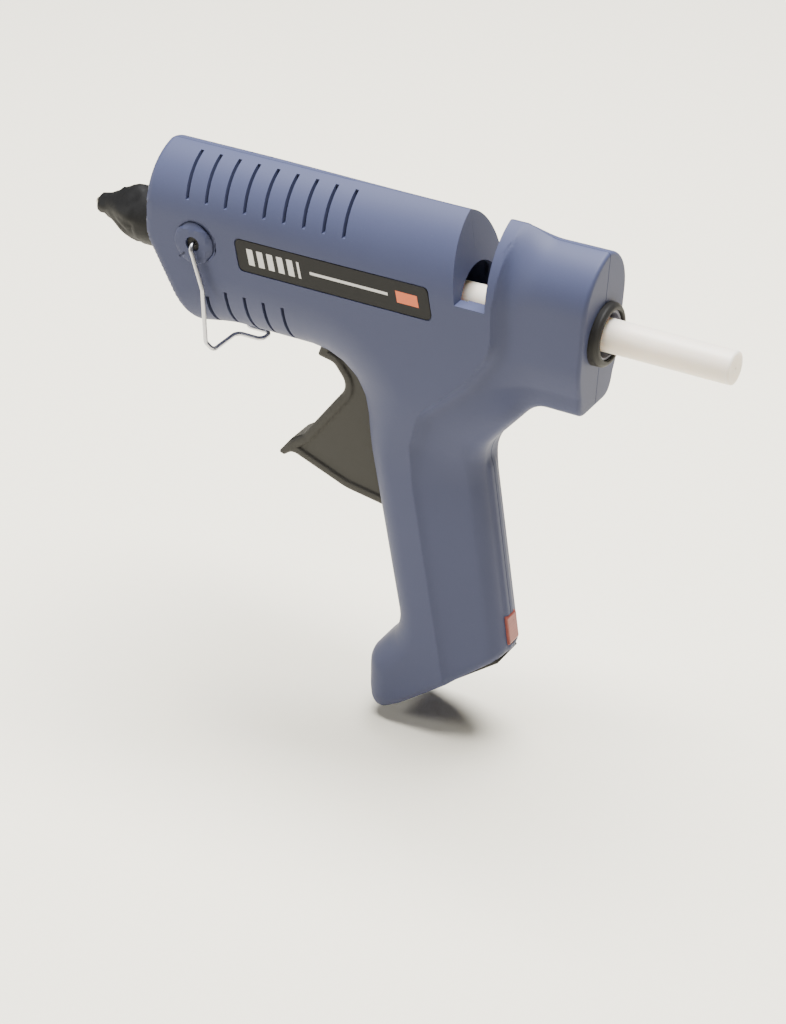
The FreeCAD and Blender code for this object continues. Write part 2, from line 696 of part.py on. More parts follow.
# ---- feed: carriage, jaw, rod and return spring ----
feed_x = pivot_x + lean
carriage_front = feed_x - 5.5
carriage_rear = carriage_front + carriage_length
rod_z = rod_rise
lug_front = carriage_front + 9.0
carriage_blank = fuse("carriage_blank", [
    block("carriage_block", carriage_front, carriage_rear, carriage_half, -bore - 3.0, pin_rise + 2.4),
    cross("feed_pins", -(carriage_half + arm_thick + 1.1), carriage_half + arm_thick + 1.1,
          feed_pin_radius, (feed_x, pin_rise)),
    block("rod_lug", lug_front, lug_front + 5.0, 3.4, pin_rise, rod_z + 3.2)])
jaw_front = carriage_front + 3.5
jaw_rear = carriage_rear - 2.5
jaw_pin_x = jaw_rear - 2.4
jaw_pin_z = -bore - 1.6
node(cut("carriage", carriage_blank, [
    bar("carriage_bore", carriage_front - 1.0, carriage_rear + 1.0, bore),
    bar("rod_hole", lug_front - 1.0, lug_front + 6.0, rod_radius + path_clearance, (0.0, rod_z)),
    block("jaw_pocket", jaw_front - 0.8, jaw_rear + 0.8, 3.6, -bore - 4.0, -bore + 3.0),
    cross("jaw_pin_hole", -carriage_half - 1.0, carriage_half + 1.0, 1.0, (jaw_pin_x, jaw_pin_z))]))
node(cross("jaw_pin", -carriage_half, carriage_half, 1.0, (jaw_pin_x, jaw_pin_z)))
teeth = 3
tooth_pitch = 2.6
jaw_top = -bore - 0.45
tooth_row = [(jaw_front, jaw_top - 2.4), (jaw_rear, jaw_top - 2.4), (jaw_rear, jaw_top - 0.6)]
for k in range(teeth):
    peak = jaw_front + tooth_pitch * (teeth - 1 - k)
    tooth_row.append((peak + tooth_pitch, jaw_top - 0.7))
    tooth_row.append((peak, jaw_top))
jaw_blank = fuse("jaw_blank", [
    pad("jaw_plate", "XZ_Plane", -3.0, 3.0, tooth_row),
    cross("jaw_eye", -3.0, 3.0, 1.75, (jaw_pin_x, jaw_pin_z - 0.35))])
node(cut("grip_jaw", jaw_blank, cross("jaw_bore", -4.0, 4.0, 1.0 + running, (jaw_pin_x, jaw_pin_z))))
rod_front = chamber_rear + rod_standoff
rod_rear = carriage_rear + 2.0
node(fuse("spring_rod", [
    bar("rod_shaft", rod_front, rod_rear, rod_radius, (0.0, rod_z)),
    bar("rod_head", rod_front - 1.5, rod_front, rod_radius + 2.6, (0.0, rod_z)),
    bar("rod_foot", rod_rear, rod_rear + 1.5, rod_radius + 2.6, (0.0, rod_z))]))
coil_radius = rod_radius + 1.3
coil_wire = 0.35
coil_turns = 7
spring_length = lug_front.value - rod_front.value - 2 * coil_wire
helix = Part.makeHelix(spring_length / coil_turns, spring_length, coil_radius.value)
coil_profile = Part.Wire(Part.makeCircle(coil_wire, V(coil_radius.value, 0, 0), V(0, 1, 0)))
coil = Part.Wire(helix.Edges).makePipeShell([coil_profile], True, True)
spring = doc.addObject("Part::Feature", "return_spring")
spring.Label = "return_spring"
spring.Shape = coil
spring.Placement = FreeCAD.Placement(
    V(rod_front.value + coil_wire - origin_x.value, 0, rod_z.value + axis_height.value),
    FreeCAD.Rotation(V(0, 1, 0), 90))
nodes.append(spring)

# ---- trigger and its pin ----
arm_inner = carriage_half + 0.6
arm_outer = arm_inner + arm_thick
hub_radius = pin_radius + 2.6
trigger_blade = pad("trigger_blade", "XZ_Plane", -trigger_half, trigger_half, [
    (93.0, -26.6), (91.0, -30.6, 1.2), (92.2, -33.2, 1.0), (97.2, -33.8, 2.5), (101.6, -40.6, 4.0),
    (97.0, -48.0, 5.0), (83.2, -64.6, 2.0), (79.4, -66.6), (74.6, -73.0, 0.6), (77.4, -74.4, 0.6),
    (80.0, -72.6, 3.0), (100.0, -80.4, 20.0), (118.6, -83.0, 2.0), (122.6, -80.0, 2.0),
    (118.0, -50.0, 14.0), (112.6, -28.0, 3.0), (112.0, -17.0), (105.0, -17.0, 2.0)])
trigger_hub = cross("trigger_hub", -arm_outer, arm_outer, hub_radius, (pivot_x, -pivot_drop))
arm_rise = pin_rise + pivot_drop
arms = []
for side, tag in ((-1, "left"), (1, "right")):
    low, high = (-arm_outer, -arm_inner) if side < 0 else (arm_inner, arm_outer)
    arms.append(pad("arm_" + tag, "XZ_Plane", low, high, [
        (pivot_x - 3.6, -pivot_drop), (pivot_x + 3.6, -pivot_drop),
        (feed_x + 4.2, pin_rise + 2.6, 2.0), (feed_x - 2.6, pin_rise + 4.0, 2.0)]))
slot_reach = 2.2
slot_lean = lean / arm_rise
slot_side = feed_pin_radius + moving
feed_slot = pad("feed_slot", "XZ_Plane", -arm_outer - 1.0, arm_outer + 1.0, [
    (feed_x - slot_side - slot_lean * slot_reach, pin_rise - slot_reach - 0.4),
    (feed_x + slot_side - slot_lean * slot_reach, pin_rise - slot_reach - 0.8),
    (feed_x + slot_side + slot_lean * 7.0, pin_rise + 7.0),
    (feed_x - slot_side + slot_lean * 7.0, pin_rise + 7.0)])
node(cut("trigger", fuse("trigger_blank", [trigger_blade, trigger_hub] + arms),
         [feed_slot, cross("trigger_bore", -arm_outer - 1.0, arm_outer + 1.0,
                           pin_radius + running, (pivot_x, -pivot_drop))]))
node(cross("trigger_pin", -(barrel_radius - 3.4), barrel_radius - 3.4, pin_radius,
           (pivot_x, -pivot_drop)))

# ---- wire stand and its bushes ----


def bent_wire(points, bend, radius):
    """Round wire along straight runs joined by tangent arcs."""
    edges = []
    here = points[0]
    for before, corner, after in zip(points, points[1:], points[2:]):
        back = (before - corner).normalize()
        ahead = (after - corner).normalize()
        half = back.getAngle(ahead) / 2
        reach_here = min(bend / math.tan(half), 0.45 * min((before - corner).Length,
                                                           (after - corner).Length))
        first = corner + back * reach_here
        last = corner + ahead * reach_here
        radius_here = reach_here * math.tan(half)
        centre = corner + (back + ahead).normalize() * (radius_here / math.sin(half))
        middle = centre + (corner - centre).normalize() * radius_here
        edges.append(Part.LineSegment(here, first).toShape())
        edges.append(Part.Arc(first, middle, last).toShape())
        here = last
    edges.append(Part.LineSegment(here, points[-1]).toShape())
    path = Part.Wire(edges)
    profile = Part.Wire(Part.makeCircle(radius, points[0], points[1] - points[0]))
    return path.makePipeShell([profile], True, True)


half = stand_half.value
bx, bz = boss_x.value, boss_rise.value
low = bz - stand_drop.value
foot = bx + stand_rake.value
near_side = [V(bx, -half + 4.6, bz), V(bx, -half, bz), V(bx + 4.4, -half, bz - 15.0),
             V(bx + 4.9, -half, low + 3.0), V(foot, -half + 1.2, low),
             V(foot, -tongue_half.value, low),
             V(foot + tongue_length.value, -tongue_half.value, low)]
stand_path = near_side + [V(p.x, -p.y, p.z) for p in reversed(near_side)]
stand = doc.addObject("Part::Feature", "wire_stand")
stand.Label = "wire_stand"
stand.Shape = bent_wire(stand_path, 2.4, wire_radius.value)
stand.Placement = FreeCAD.Placement(V(-origin_x.value, 0, axis_height.value), FreeCAD.Rotation())
nodes.append(stand)
bushes = []
bush_inner = barrel_radius - wall - 1.0
for side, tag in ((-1, "left"), (1, "right")):
    inner_end = dim(side) * bush_inner
    outer_end = dim(side) * (barrel_radius + boss_proud - 1.0)
    low_end, high_end = (outer_end, inner_end) if side < 0 else (inner_end, outer_end)
    ring = cross("bush_ring_" + tag, low_end, high_end, bush_radius, (boss_x, boss_rise))
    hole = cross("bush_hole_" + tag, low_end - 1.0, high_end + 1.0, wire_radius + running,
                 (boss_x, boss_rise))
    bushes.append(cut("bush_" + tag, ring, hole))
node(fuse("stand_bushes", bushes))

# ---- foot: plate, contact block, contact sleeves ----
socket_gap = 10.0
plate_blank = block("plate_blank", -plate_half_long, plate_half_long, plate_half_wide,
                    -plate_proud, plate_thick - plate_proud)


def sockets(name, radius, low, high):
    return fuse(name, [pad("%s_%d" % (name, k), "XY_Plane", low, high,
                           circle=(socket_gap * (k - 0.5), 0.0, radius)) for k in range(2)])


def foot_node(obj):
    """A finished piece drawn about the foot's centre."""
    tilt(obj)
    obj.setExpression("Placement.Base.x", "(%s - Sizes.OriginBehindTip)" % foot_x.text)
    obj.setExpression("Placement.Base.z", "(%s + Sizes.AxisAboveToe)" % foot_level.text)
    nodes.append(obj)
    return obj


sleeve_wall = 0.5
foot_node(cut("foot_plate", plate_blank,
              sockets("plate_holes", socket_radius + sleeve_wall, -3.0, 5.0)))
block_low = plate_thick - plate_proud
foot_node(cut("contact_block",
              block("contact_blank", -plate_half_long + 1.5, socket_gap / 2 + 3.5,
                    plate_half_wide - 1.0, block_low, block_low + 9.5),
              sockets("block_holes", socket_radius + sleeve_wall, 0.0, 13.0)))
foot_node(cut("contact_sleeves",
              sockets("sleeve_blanks", socket_radius + sleeve_wall, -plate_proud + 0.2,
                      -plate_proud + 0.2 + socket_depth + 1.0),
              sockets("sleeve_bores", socket_radius, -plate_proud - 1.0,
                      -plate_proud + 0.2 + socket_depth)))

# ---- indicator: lens, lamp, board ----
lens_back = grip_back(-120.0)
node(pad("indicator_lens", "XZ_Plane", -(lens_half - 0.05), lens_half - 0.05, [
    (lens_back - 3.4, lens_bottom + 0.1), (grip_back(lens_bottom) + 0.5, lens_bottom + 0.1, 1.0),
    (grip_back(lens_top) + 0.5, lens_top - 0.1, 1.0), (lens_back - 3.4, lens_top - 0.1)]))
board_front = grip_back(-90.0) - 9.0
node(block("circuit_board", board_front, board_front + 1.6, 6.0, -122.5, -70.0))
node(bar("indicator_lamp", board_front + 1.6, lens_back - 3.7, 1.5,
         (0.0, (lens_top + lens_bottom) / 2)))

# ---- inner leads: board up the grip, along each side wall to the heater ----
for side, tag in ((-1, "left"), (1, "right")):
    y_wall = side * (barrel_radius.value - wall.value - 1.55)
    tab_level = seat_top.value + plate / 2 + (plate + tablet if side > 0 else 0.0)
    tab_end = heater_rear.value + 1.5
    board_middle = board_front.value + 0.8
    lead_path = [V(board_middle, side * 3.0, -70.0), V(board_middle, side * 3.0, -60.0),
                 V(144.0, side * 7.5, -42.0), V(138.0, side * 6.8, -25.0), V(128.0, y_wall, -9.0),
                 V(108.0, y_wall, -6.0), V(96.0, y_wall, 2.0), V(88.0, side * 9.6, tab_level),
                 V(83.0, side * 4.0, tab_level),
                 V(tab_end, side * 4.0, tab_level)]
    lead = doc.addObject("Part::Feature", "heater_lead_" + tag)
    lead.Label = "heater_lead_" + tag
    lead.Shape = bent_wire(lead_path, 6.0, 0.8)
    lead.Placement = FreeCAD.Placement(V(-origin_x.value, 0, axis_height.value), FreeCAD.Rotation())
    nodes.append(lead)

# ---- check and write ----
doc.recompute()
failed = [obj.Name for obj in doc.Objects if {"Invalid", "Error"} & set(obj.State)]
for obj in nodes:
    if obj.Shape.isNull() or not obj.Shape.isValid():
        failed.append("shape of " + obj.Label)
if failed:
    raise RuntimeError("failed: " + ", ".join(failed))
os.makedirs("parts", exist_ok=True)
for obj in nodes:
    obj.Shape.exportStep("parts/%s.step" % obj.Label)
    box = obj.Shape.BoundBox
    print("%-18s %2d solids %9.1f mm3  x %.1f..%.1f  y %.1f..%.1f  z %.1f..%.1f" % (
        obj.Label, len(obj.Shape.Solids), obj.Shape.Volume,
        box.XMin, box.XMax, box.YMin, box.YMax, box.ZMin, box.ZMax))
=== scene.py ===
import bpy
import bmesh
import json
import numpy as np
from math import radians, sin, cos, pi, tan
from mathutils import Vector, Matrix, noise

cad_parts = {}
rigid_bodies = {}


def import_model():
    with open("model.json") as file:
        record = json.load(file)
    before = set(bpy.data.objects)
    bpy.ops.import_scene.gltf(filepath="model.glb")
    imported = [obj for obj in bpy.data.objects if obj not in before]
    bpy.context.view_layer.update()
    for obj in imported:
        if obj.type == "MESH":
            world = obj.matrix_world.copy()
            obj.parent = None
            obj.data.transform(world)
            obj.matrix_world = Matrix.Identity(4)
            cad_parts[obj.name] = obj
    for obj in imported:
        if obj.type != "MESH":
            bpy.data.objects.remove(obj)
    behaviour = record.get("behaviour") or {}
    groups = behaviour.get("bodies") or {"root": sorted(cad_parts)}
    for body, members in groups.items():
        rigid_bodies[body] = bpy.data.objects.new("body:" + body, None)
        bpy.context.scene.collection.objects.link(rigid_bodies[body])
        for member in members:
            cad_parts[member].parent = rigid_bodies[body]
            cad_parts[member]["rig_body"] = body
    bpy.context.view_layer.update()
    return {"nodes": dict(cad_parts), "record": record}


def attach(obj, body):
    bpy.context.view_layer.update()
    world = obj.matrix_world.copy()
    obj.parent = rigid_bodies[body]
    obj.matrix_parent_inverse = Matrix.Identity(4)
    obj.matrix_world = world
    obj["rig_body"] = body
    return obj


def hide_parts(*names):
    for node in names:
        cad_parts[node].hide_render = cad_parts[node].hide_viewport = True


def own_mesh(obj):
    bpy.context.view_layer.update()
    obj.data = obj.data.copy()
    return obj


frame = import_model()
mm = 0.001
axisHeight = 164.2 * mm  # glue stick's centre line above the floor
tipX = -118.5 * mm       # nozzle tip


def place(x, y, z):
    # a point given from the nozzle tip and the stick's centre line, in millimetres
    return Vector((tipX + x * mm, y * mm, axisHeight + z * mm))


class Signal:
    # wraps a socket, so that shader maths reads as plain expressions
    def __init__(self, tree, socket=None):
        self.tree = tree
        self.socket = socket

    def node(self, kind, settings=None, inputs=None, out=0):
        made = self.tree.nodes.new("ShaderNode" + kind)
        for name, value in (settings or {}).items():
            if name == "stops":
                ramp = made.color_ramp
                while len(ramp.elements) < len(value):
                    ramp.elements.new(0.5)
                for element, (position, colour) in zip(ramp.elements, value):
                    element.position = position
                    element.color = (*colour, 1.0)
            else:
                setattr(made, name, value)
        for name, value in (inputs or {}).items():
            self.plug(made.inputs[name], value)
        return Signal(self.tree, made.outputs[out])

    def plug(self, socket, value):
        if isinstance(value, Signal):
            self.tree.links.new(value.socket, socket)
        elif isinstance(value, (tuple, list, Vector)) and len(socket.default_value) == 4:
            socket.default_value = (*value[:3], 1.0)
        else:
            socket.default_value = value

    def math(self, operation, first, second=0.0):
        return self.node("Math", {"operation": operation}, {0: first, 1: second})

    def __add__(self, other):
        return self.math("ADD", self, other)

    def __sub__(self, other):
        return self.math("SUBTRACT", self, other)

    def __mul__(self, other):
        return self.math("MULTIPLY", self, other)

    def __truediv__(self, other):
        return self.math("DIVIDE", self, other)

    def __radd__(self, other):
        return self.math("ADD", other, self)

    def __rsub__(self, other):
        return self.math("SUBTRACT", other, self)

    def __rmul__(self, other):
        return self.math("MULTIPLY", other, self)

    def limit(self, low, high):
        return self.math("MINIMUM", self.math("MAXIMUM", self, low), high)

    def within(self, low, high, soft=0.02 * mm):
        # 1 between low and high, fading over `soft` at each end
        rise = ((self - low) / soft).limit(0.0, 1.0)
        fall = ((high - self) / soft).limit(0.0, 1.0)
        return rise * fall

    def mixTo(self, first, second):
        return self.node("Mix", {"data_type": "RGBA"}, {0: self, 6: first, 7: second}, out=2)


def newFinish(name, **constants):
    material = bpy.data.materials.new(name)
    material.use_nodes = True
    tree = material.node_tree
    shader = tree.nodes["Principled BSDF"]
    for key, value in constants.items():
        socket = shader.inputs[shaderSockets.get(key, key)]
        isColour = isinstance(value, tuple) and len(socket.default_value) == 4
        socket.default_value = (*value, 1.0) if isColour else value
    start = Signal(tree)
    coords = start.node("TexCoord", out=3)
    return material, shader, start, coords


shaderSockets = {"baseColour": "Base Color", "roughness": "Roughness", "metallic": "Metallic", "ior": "IOR",
                 "coat": "Coat Weight", "coatRoughness": "Coat Roughness", "specular": "Specular IOR Level",
                 "subsurface": "Subsurface Weight", "subsurfaceRadius": "Subsurface Radius",
                 "subsurfaceScale": "Subsurface Scale", "transmission": "Transmission Weight",
                 "sheen": "Sheen Weight", "sheenRoughness": "Sheen Roughness"}


def noiseAt(start, coords, scale, detail=3.0, rough=0.55, stretch=None):
    if stretch:
        coords = start.node("Mapping", inputs={"Vector": coords, "Scale": stretch})
    return start.node("TexNoise", inputs={"Vector": coords, "Scale": scale, "Detail": detail,
                                          "Roughness": rough})


def mouldedPlastic(name, look):
    # moulded plastic: a spark-eroded grain and slow colour drift
    material, shader, start, coords = newFinish(name, roughness=look["roughness"],
                                                specular=look.get("specular", 0.4))
    drift = noiseAt(start, coords, 28.0, 2.0)
    colour = drift.mixTo(look["dark"], look["light"])
    grain = noiseAt(start, coords, look["grainScale"], 2.0, 0.6)
    specks = grain.node("ValToRGB", {"stops": [(0.62, (0, 0, 0)), (0.8, (1, 1, 1))]}, {"Fac": grain})
    start.plug(shader.inputs["Base Color"], (specks * look.get("specks", 0.12)).mixTo(colour, look["speck"]))
    lowest = look["roughness"] - look["roughDrift"] / 2
    start.plug(shader.inputs["Roughness"], drift * look["roughDrift"] + lowest)
    bump = start.node("Bump", inputs={"Height": grain, "Strength": look["bump"], "Distance": look["bumpDepth"]})
    start.plug(shader.inputs["Normal"], bump)
    return material


def brushedMetal(name, look):
    # drawn or turned metal: fine lines along `stretch` and a little tarnish
    material, shader, start, coords = newFinish(name, metallic=look.get("metallic", 1.0))
    lines = noiseAt(start, coords, look["lineScale"], 3.0, 0.6, look["stretch"])
    tarnish = noiseAt(start, coords, 160.0, 4.0)
    start.plug(shader.inputs["Base Color"], tarnish.mixTo(look["dark"], look["light"]))
    start.plug(shader.inputs["Roughness"], lines * look["roughDrift"] + look["roughness"])
    bump = start.node("Bump", inputs={"Height": lines, "Strength": look["bump"], "Distance": 0.03 * mm})
    start.plug(shader.inputs["Normal"], bump)
    return material


plastics = {
    "bluePlastic": {"dark": (0.047, 0.054, 0.106), "light": (0.056, 0.064, 0.122),
                    "speck": (0.14, 0.155, 0.24),
                    "roughness": 0.55, "roughDrift": 0.08,
                    "grainScale": 2600.0, "bump": 0.3, "bumpDepth": 0.05 * mm,
                    "specular": 0.22},
    "blackPlastic": {"dark": (0.016, 0.0155, 0.015), "light": (0.024, 0.023, 0.022),
                     "speck": (0.06, 0.06, 0.06),
                     "roughness": 0.55, "roughDrift": 0.1,
                     "grainScale": 2200.0, "bump": 0.25, "bumpDepth": 0.04 * mm,
                     "specular": 0.2},
    "triggerPlastic": {"dark": (0.03, 0.029, 0.026), "light": (0.042, 0.04, 0.036),
                       "speck": (0.09, 0.085, 0.08),
                       "roughness": 0.56, "roughDrift": 0.1,
                       "grainScale": 2400.0, "bump": 0.3, "bumpDepth": 0.05 * mm,
                       "specular": 0.2},
    "ringGrey": {"dark": (0.13, 0.13, 0.17), "light": (0.17, 0.17, 0.22), "speck": (0.25, 0.25, 0.3),
                 "roughness": 0.45, "roughDrift": 0.08,
                 "grainScale": 2200.0, "bump": 0.2, "bumpDepth": 0.03 * mm},
    "clearNylon": {"dark": (0.52, 0.5, 0.45), "light": (0.6, 0.58, 0.53), "speck": (0.7, 0.7, 0.66),
                   "roughness": 0.38, "roughDrift": 0.1,
                   "grainScale": 1500.0, "bump": 0.12, "bumpDepth": 0.03 * mm},
    "ptcCeramic": {"dark": (0.05, 0.048, 0.05), "light": (0.09, 0.085, 0.085), "speck": (0.2, 0.2, 0.2),
                   "roughness": 0.7, "roughDrift": 0.15,
                   "grainScale": 3200.0, "bump": 0.4, "bumpDepth": 0.05 * mm},
    "fuseBody": {"dark": (0.55, 0.5, 0.4), "light": (0.66, 0.6, 0.5), "speck": (0.8, 0.76, 0.7),
                 "roughness": 0.5, "roughDrift": 0.1,
                 "grainScale": 2200.0, "bump": 0.2, "bumpDepth": 0.03 * mm},
}
metals = {
    "nozzleMetal": {"dark": (0.42, 0.38, 0.32), "light": (0.6, 0.57, 0.5), "roughness": 0.22, "roughDrift": 0.2,
                    "lineScale": 900.0, "stretch": (20.0, 1.0, 1.0), "bump": 0.15},
    "castAlloy": {"dark": (0.45, 0.45, 0.46), "light": (0.6, 0.6, 0.61), "roughness": 0.38, "roughDrift": 0.25,
                  "lineScale": 1400.0, "stretch": (1.0, 1.0, 1.0), "bump": 0.35},
    "brassSheet": {"dark": (0.55, 0.4, 0.16), "light": (0.7, 0.53, 0.25), "roughness": 0.25, "roughDrift": 0.2,
                   "lineScale": 1200.0, "stretch": (0.08, 1.0, 1.0), "bump": 0.12},
    "springSteel": {"dark": (0.42, 0.42, 0.45), "light": (0.6, 0.6, 0.63), "roughness": 0.26, "roughDrift": 0.2,
                    "lineScale": 1300.0, "stretch": (1.0, 1.0, 0.08), "bump": 0.12},
    "screwSteel": {"dark": (0.36, 0.36, 0.38), "light": (0.52, 0.52, 0.54), "roughness": 0.3, "roughDrift": 0.2,
                   "lineScale": 1100.0, "stretch": (1.0, 0.1, 1.0), "bump": 0.12},
}
finishes = {name: mouldedPlastic(name, look) for name, look in plastics.items()}
finishes.update({name: brushedMetal(name, look) for name, look in metals.items()})


def siliconeFinish(look):
    # heat-proof rubber: matte, with moulding ripples and dusty high spots
    material, shader, start, coords = newFinish("silicone", specular=0.2)
    ripple = noiseAt(start, coords, look["rippleScale"], 4.0, 0.6)
    dust = noiseAt(start, coords, 900.0, 3.0, 0.7)
    start.plug(shader.inputs["Base Color"], (dust * ripple).mixTo(look["dark"], look["light"]))
    start.plug(shader.inputs["Roughness"], ripple * 0.2 + 0.5)
    height = ripple + dust * 0.15
    bump = start.node("Bump", inputs={"Height": height, "Strength": 0.5, "Distance": look["depth"]})
    start.plug(shader.inputs["Normal"], bump)
    return material


finishes["silicone"] = siliconeFinish({"dark": (0.003, 0.003, 0.0032), "light": (0.008, 0.008, 0.0085),
                                       "rippleScale": 190.0, "depth": 0.5 * mm})


def glueFinish(look):
    # hot-melt glue: milky, lit from inside, with slow cloudiness and faint extrusion lines
    material, shader, start, coords = newFinish(
        "glue", roughness=look["roughness"], subsurface=look["subsurface"],
        subsurfaceRadius=look["radius"], subsurfaceScale=look["scale"], ior=1.48)
    cloud = noiseAt(start, coords, 90.0, 3.0, 0.5, (0.25, 1.0, 1.0))
    lines = noiseAt(start, coords, 1500.0, 2.0, 0.5, (0.02, 1.0, 1.0))
    start.plug(shader.inputs["Base Color"], cloud.mixTo(look["dark"], look["light"]))
    start.plug(shader.inputs["Roughness"], lines * 0.15 + look["roughness"])
    bump = start.node("Bump", inputs={"Height": lines, "Strength": 0.15, "Distance": 0.05 * mm})
    start.plug(shader.inputs["Normal"], bump)
    return material


finishes["glue"] = glueFinish({"dark": (0.78, 0.7, 0.6), "light": (0.88, 0.82, 0.73), "roughness": 0.3,
                               "subsurface": 0.6, "radius": (0.01, 0.0085, 0.007), "scale": 0.6})


def lensFinish(look):
    material, shader, start, coords = newFinish("lensRed", transmission=0.15, ior=1.49, specular=0.25)
    haze = noiseAt(start, coords, 400.0, 3.0)
    start.plug(shader.inputs["Base Color"], haze.mixTo(look["dark"], look["light"]))
    start.plug(shader.inputs["Roughness"], haze * 0.2 + 0.22)
    ribs = start.node("TexWave", {"wave_type": "BANDS", "bands_direction": "Z"},
                      {"Vector": coords, "Scale": 260.0, "Distortion": 0.0})
    bump = start.node("Bump", inputs={"Height": ribs, "Strength": 0.2, "Distance": 0.1 * mm})
    start.plug(shader.inputs["Normal"], bump)
    return material


finishes["lensRed"] = lensFinish({"dark": (0.26, 0.06, 0.05), "light": (0.36, 0.11, 0.09)})


def lampFinish():
    material, shader, start, coords = newFinish("lampGlass", transmission=0.85, ior=1.5)
    streak = noiseAt(start, coords, 700.0, 2.0)
    start.plug(shader.inputs["Base Color"], streak.mixTo((0.8, 0.55, 0.4), (0.95, 0.85, 0.75)))
    start.plug(shader.inputs["Roughness"], streak * 0.12 + 0.05)
    return material


finishes["lampGlass"] = lampFinish()


def filmFinish():
    # amber insulating film with slight creases
    material, shader, start, coords = newFinish("film", coat=0.3)
    crease = noiseAt(start, coords, 260.0, 4.0, 0.6)
    start.plug(shader.inputs["Base Color"], crease.mixTo((0.45, 0.2, 0.04), (0.62, 0.33, 0.08)))
    start.plug(shader.inputs["Roughness"], crease * 0.2 + 0.2)
    bump = start.node("Bump", inputs={"Height": crease, "Strength": 0.3, "Distance": 0.2 * mm})
    start.plug(shader.inputs["Normal"], bump)
    return material


finishes["film"] = filmFinish()


def boardFinish(look):
    # circuit board: green mask over a grid of copper tracks
    material, shader, start, coords = newFinish("board", coat=0.35)
    across = start.node("SeparateXYZ", inputs={"Vector": coords}, out=1)
    along = start.node("SeparateXYZ", inputs={"Vector": coords}, out=2)
    wander = noiseAt(start, coords, 120.0, 1.0)
    tracks = start.math("PINGPONG", across + wander * 1.2 * mm, look["pitch"]).within(0.0, look["track"])
    breaks = start.math("PINGPONG", along, look["run"]).within(0.6 * mm, look["run"] * 2)
    mask = tracks * breaks
    weave = noiseAt(start, coords, 1800.0, 1.0)
    green = weave.mixTo(look["dark"], look["light"])
    start.plug(shader.inputs["Base Color"], mask.mixTo(green, look["copper"]))
    start.plug(shader.inputs["Roughness"], 0.45 - mask * 0.15)
    bump = start.node("Bump", inputs={"Height": mask, "Strength": 0.4, "Distance": 0.05 * mm})
    start.plug(shader.inputs["Normal"], bump)
    return material


finishes["board"] = boardFinish({"pitch": 1.3 * mm, "track": 0.4 * mm, "run": 7.0 * mm, "dark": (0.02, 0.1, 0.04),
                                 "light": (0.03, 0.14, 0.055), "copper": (0.1, 0.3, 0.1)})


def braidFinish():
    # glass-fibre braid: crossing diagonal strands
    material, shader, start, coords = newFinish("leadSleeve", roughness=0.8)
    one = start.node("TexWave", {"wave_type": "BANDS", "bands_direction": "DIAGONAL"},
                     {"Vector": coords, "Scale": 900.0, "Distortion": 0.4})
    turned = start.node("Mapping", inputs={"Vector": coords, "Scale": (1.0, -1.0, 1.0)})
    two = start.node("TexWave", {"wave_type": "BANDS", "bands_direction": "DIAGONAL"},
                     {"Vector": turned, "Scale": 900.0, "Distortion": 0.4})
    strands = one * two
    start.plug(shader.inputs["Base Color"], strands.mixTo((0.5, 0.46, 0.38), (0.78, 0.75, 0.68)))
    bump = start.node("Bump", inputs={"Height": strands, "Strength": 0.6, "Distance": 0.1 * mm})
    start.plug(shader.inputs["Normal"], bump)
    return material


finishes["leadSleeve"] = braidFinish()


def labelFinish(look):
    # black film printed with a plain pattern: slanted bars, a rule and an accent block
    material, shader, start, coords = newFinish("labelFilm", roughness=0.5, specular=0.2)
    x = start.node("SeparateXYZ", inputs={"Vector": coords})
    z = start.node("SeparateXYZ", inputs={"Vector": coords}, out=2)
    slanted = x + (z - (axisHeight + look["middle"] * mm)) * 0.2

    def at(fromTip):
        return tipX + fromTip * mm

    def level(low, high):
        return z.within(axisHeight + low * mm, axisHeight + high * mm)

    bars = start.math("PINGPONG", slanted - at(72.0), 1.9 * mm).within(-1.0, 1.15 * mm, 0.05 * mm)
    bars = bars * slanted.within(at(70.2), at(90.8)) * level(0.6, 6.2)
    rule = slanted.within(at(94.5), at(123.5)) * level(2.9, 3.9)
    block = slanted.within(at(126.6), at(134.5)) * level(1.4, 5.4)
    scuff = noiseAt(start, coords, 500.0, 4.0, 0.7)
    ink = (bars + rule).limit(0.0, 1.0)
    colour = block.mixTo(ink.mixTo(look["film"], look["ink"]), look["accent"])
    start.plug(shader.inputs["Base Color"], colour)
    start.plug(shader.inputs["Roughness"], scuff * 0.16 + 0.42)
    relief = ink + block + scuff * 0.2
    bump = start.node("Bump", inputs={"Height": relief, "Strength": 0.2, "Distance": 0.03 * mm})
    start.plug(shader.inputs["Normal"], bump)
    return material


print("finishes made:", len(finishes))


def bodyOf(node):
    return frame["nodes"][node]["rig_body"]


def finishPiece(name, bm, node, finish, smoothAngle=32.0):
    # write a bmesh to an object that stands for `node`
    for face in bm.faces:
        face.smooth = True
    for edge in bm.edges:
        edge.smooth = len(edge.link_faces) == 2 and edge.calc_face_angle(pi) < radians(smoothAngle)
    mesh = bpy.data.meshes.new(name)
    bm.to_mesh(mesh)
    bm.free()
    piece = bpy.data.objects.new(name, mesh)
    bpy.context.scene.collection.objects.link(piece)
    mesh.materials.append(finishes[finish])
    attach(piece, bodyOf(node))
    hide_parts(node)
    return piece


def fromCad(node, flatAngle=0.6):
    # a merged copy of a CAD node, its flat areas made single faces
    bm = bmesh.new()
    bm.from_mesh(frame["nodes"][node].data)
    bmesh.ops.remove_doubles(bm, verts=bm.verts, dist=0.002 * mm)
    bmesh.ops.dissolve_limit(bm, angle_limit=radians(flatAngle), verts=bm.verts, edges=bm.edges)
    return bm


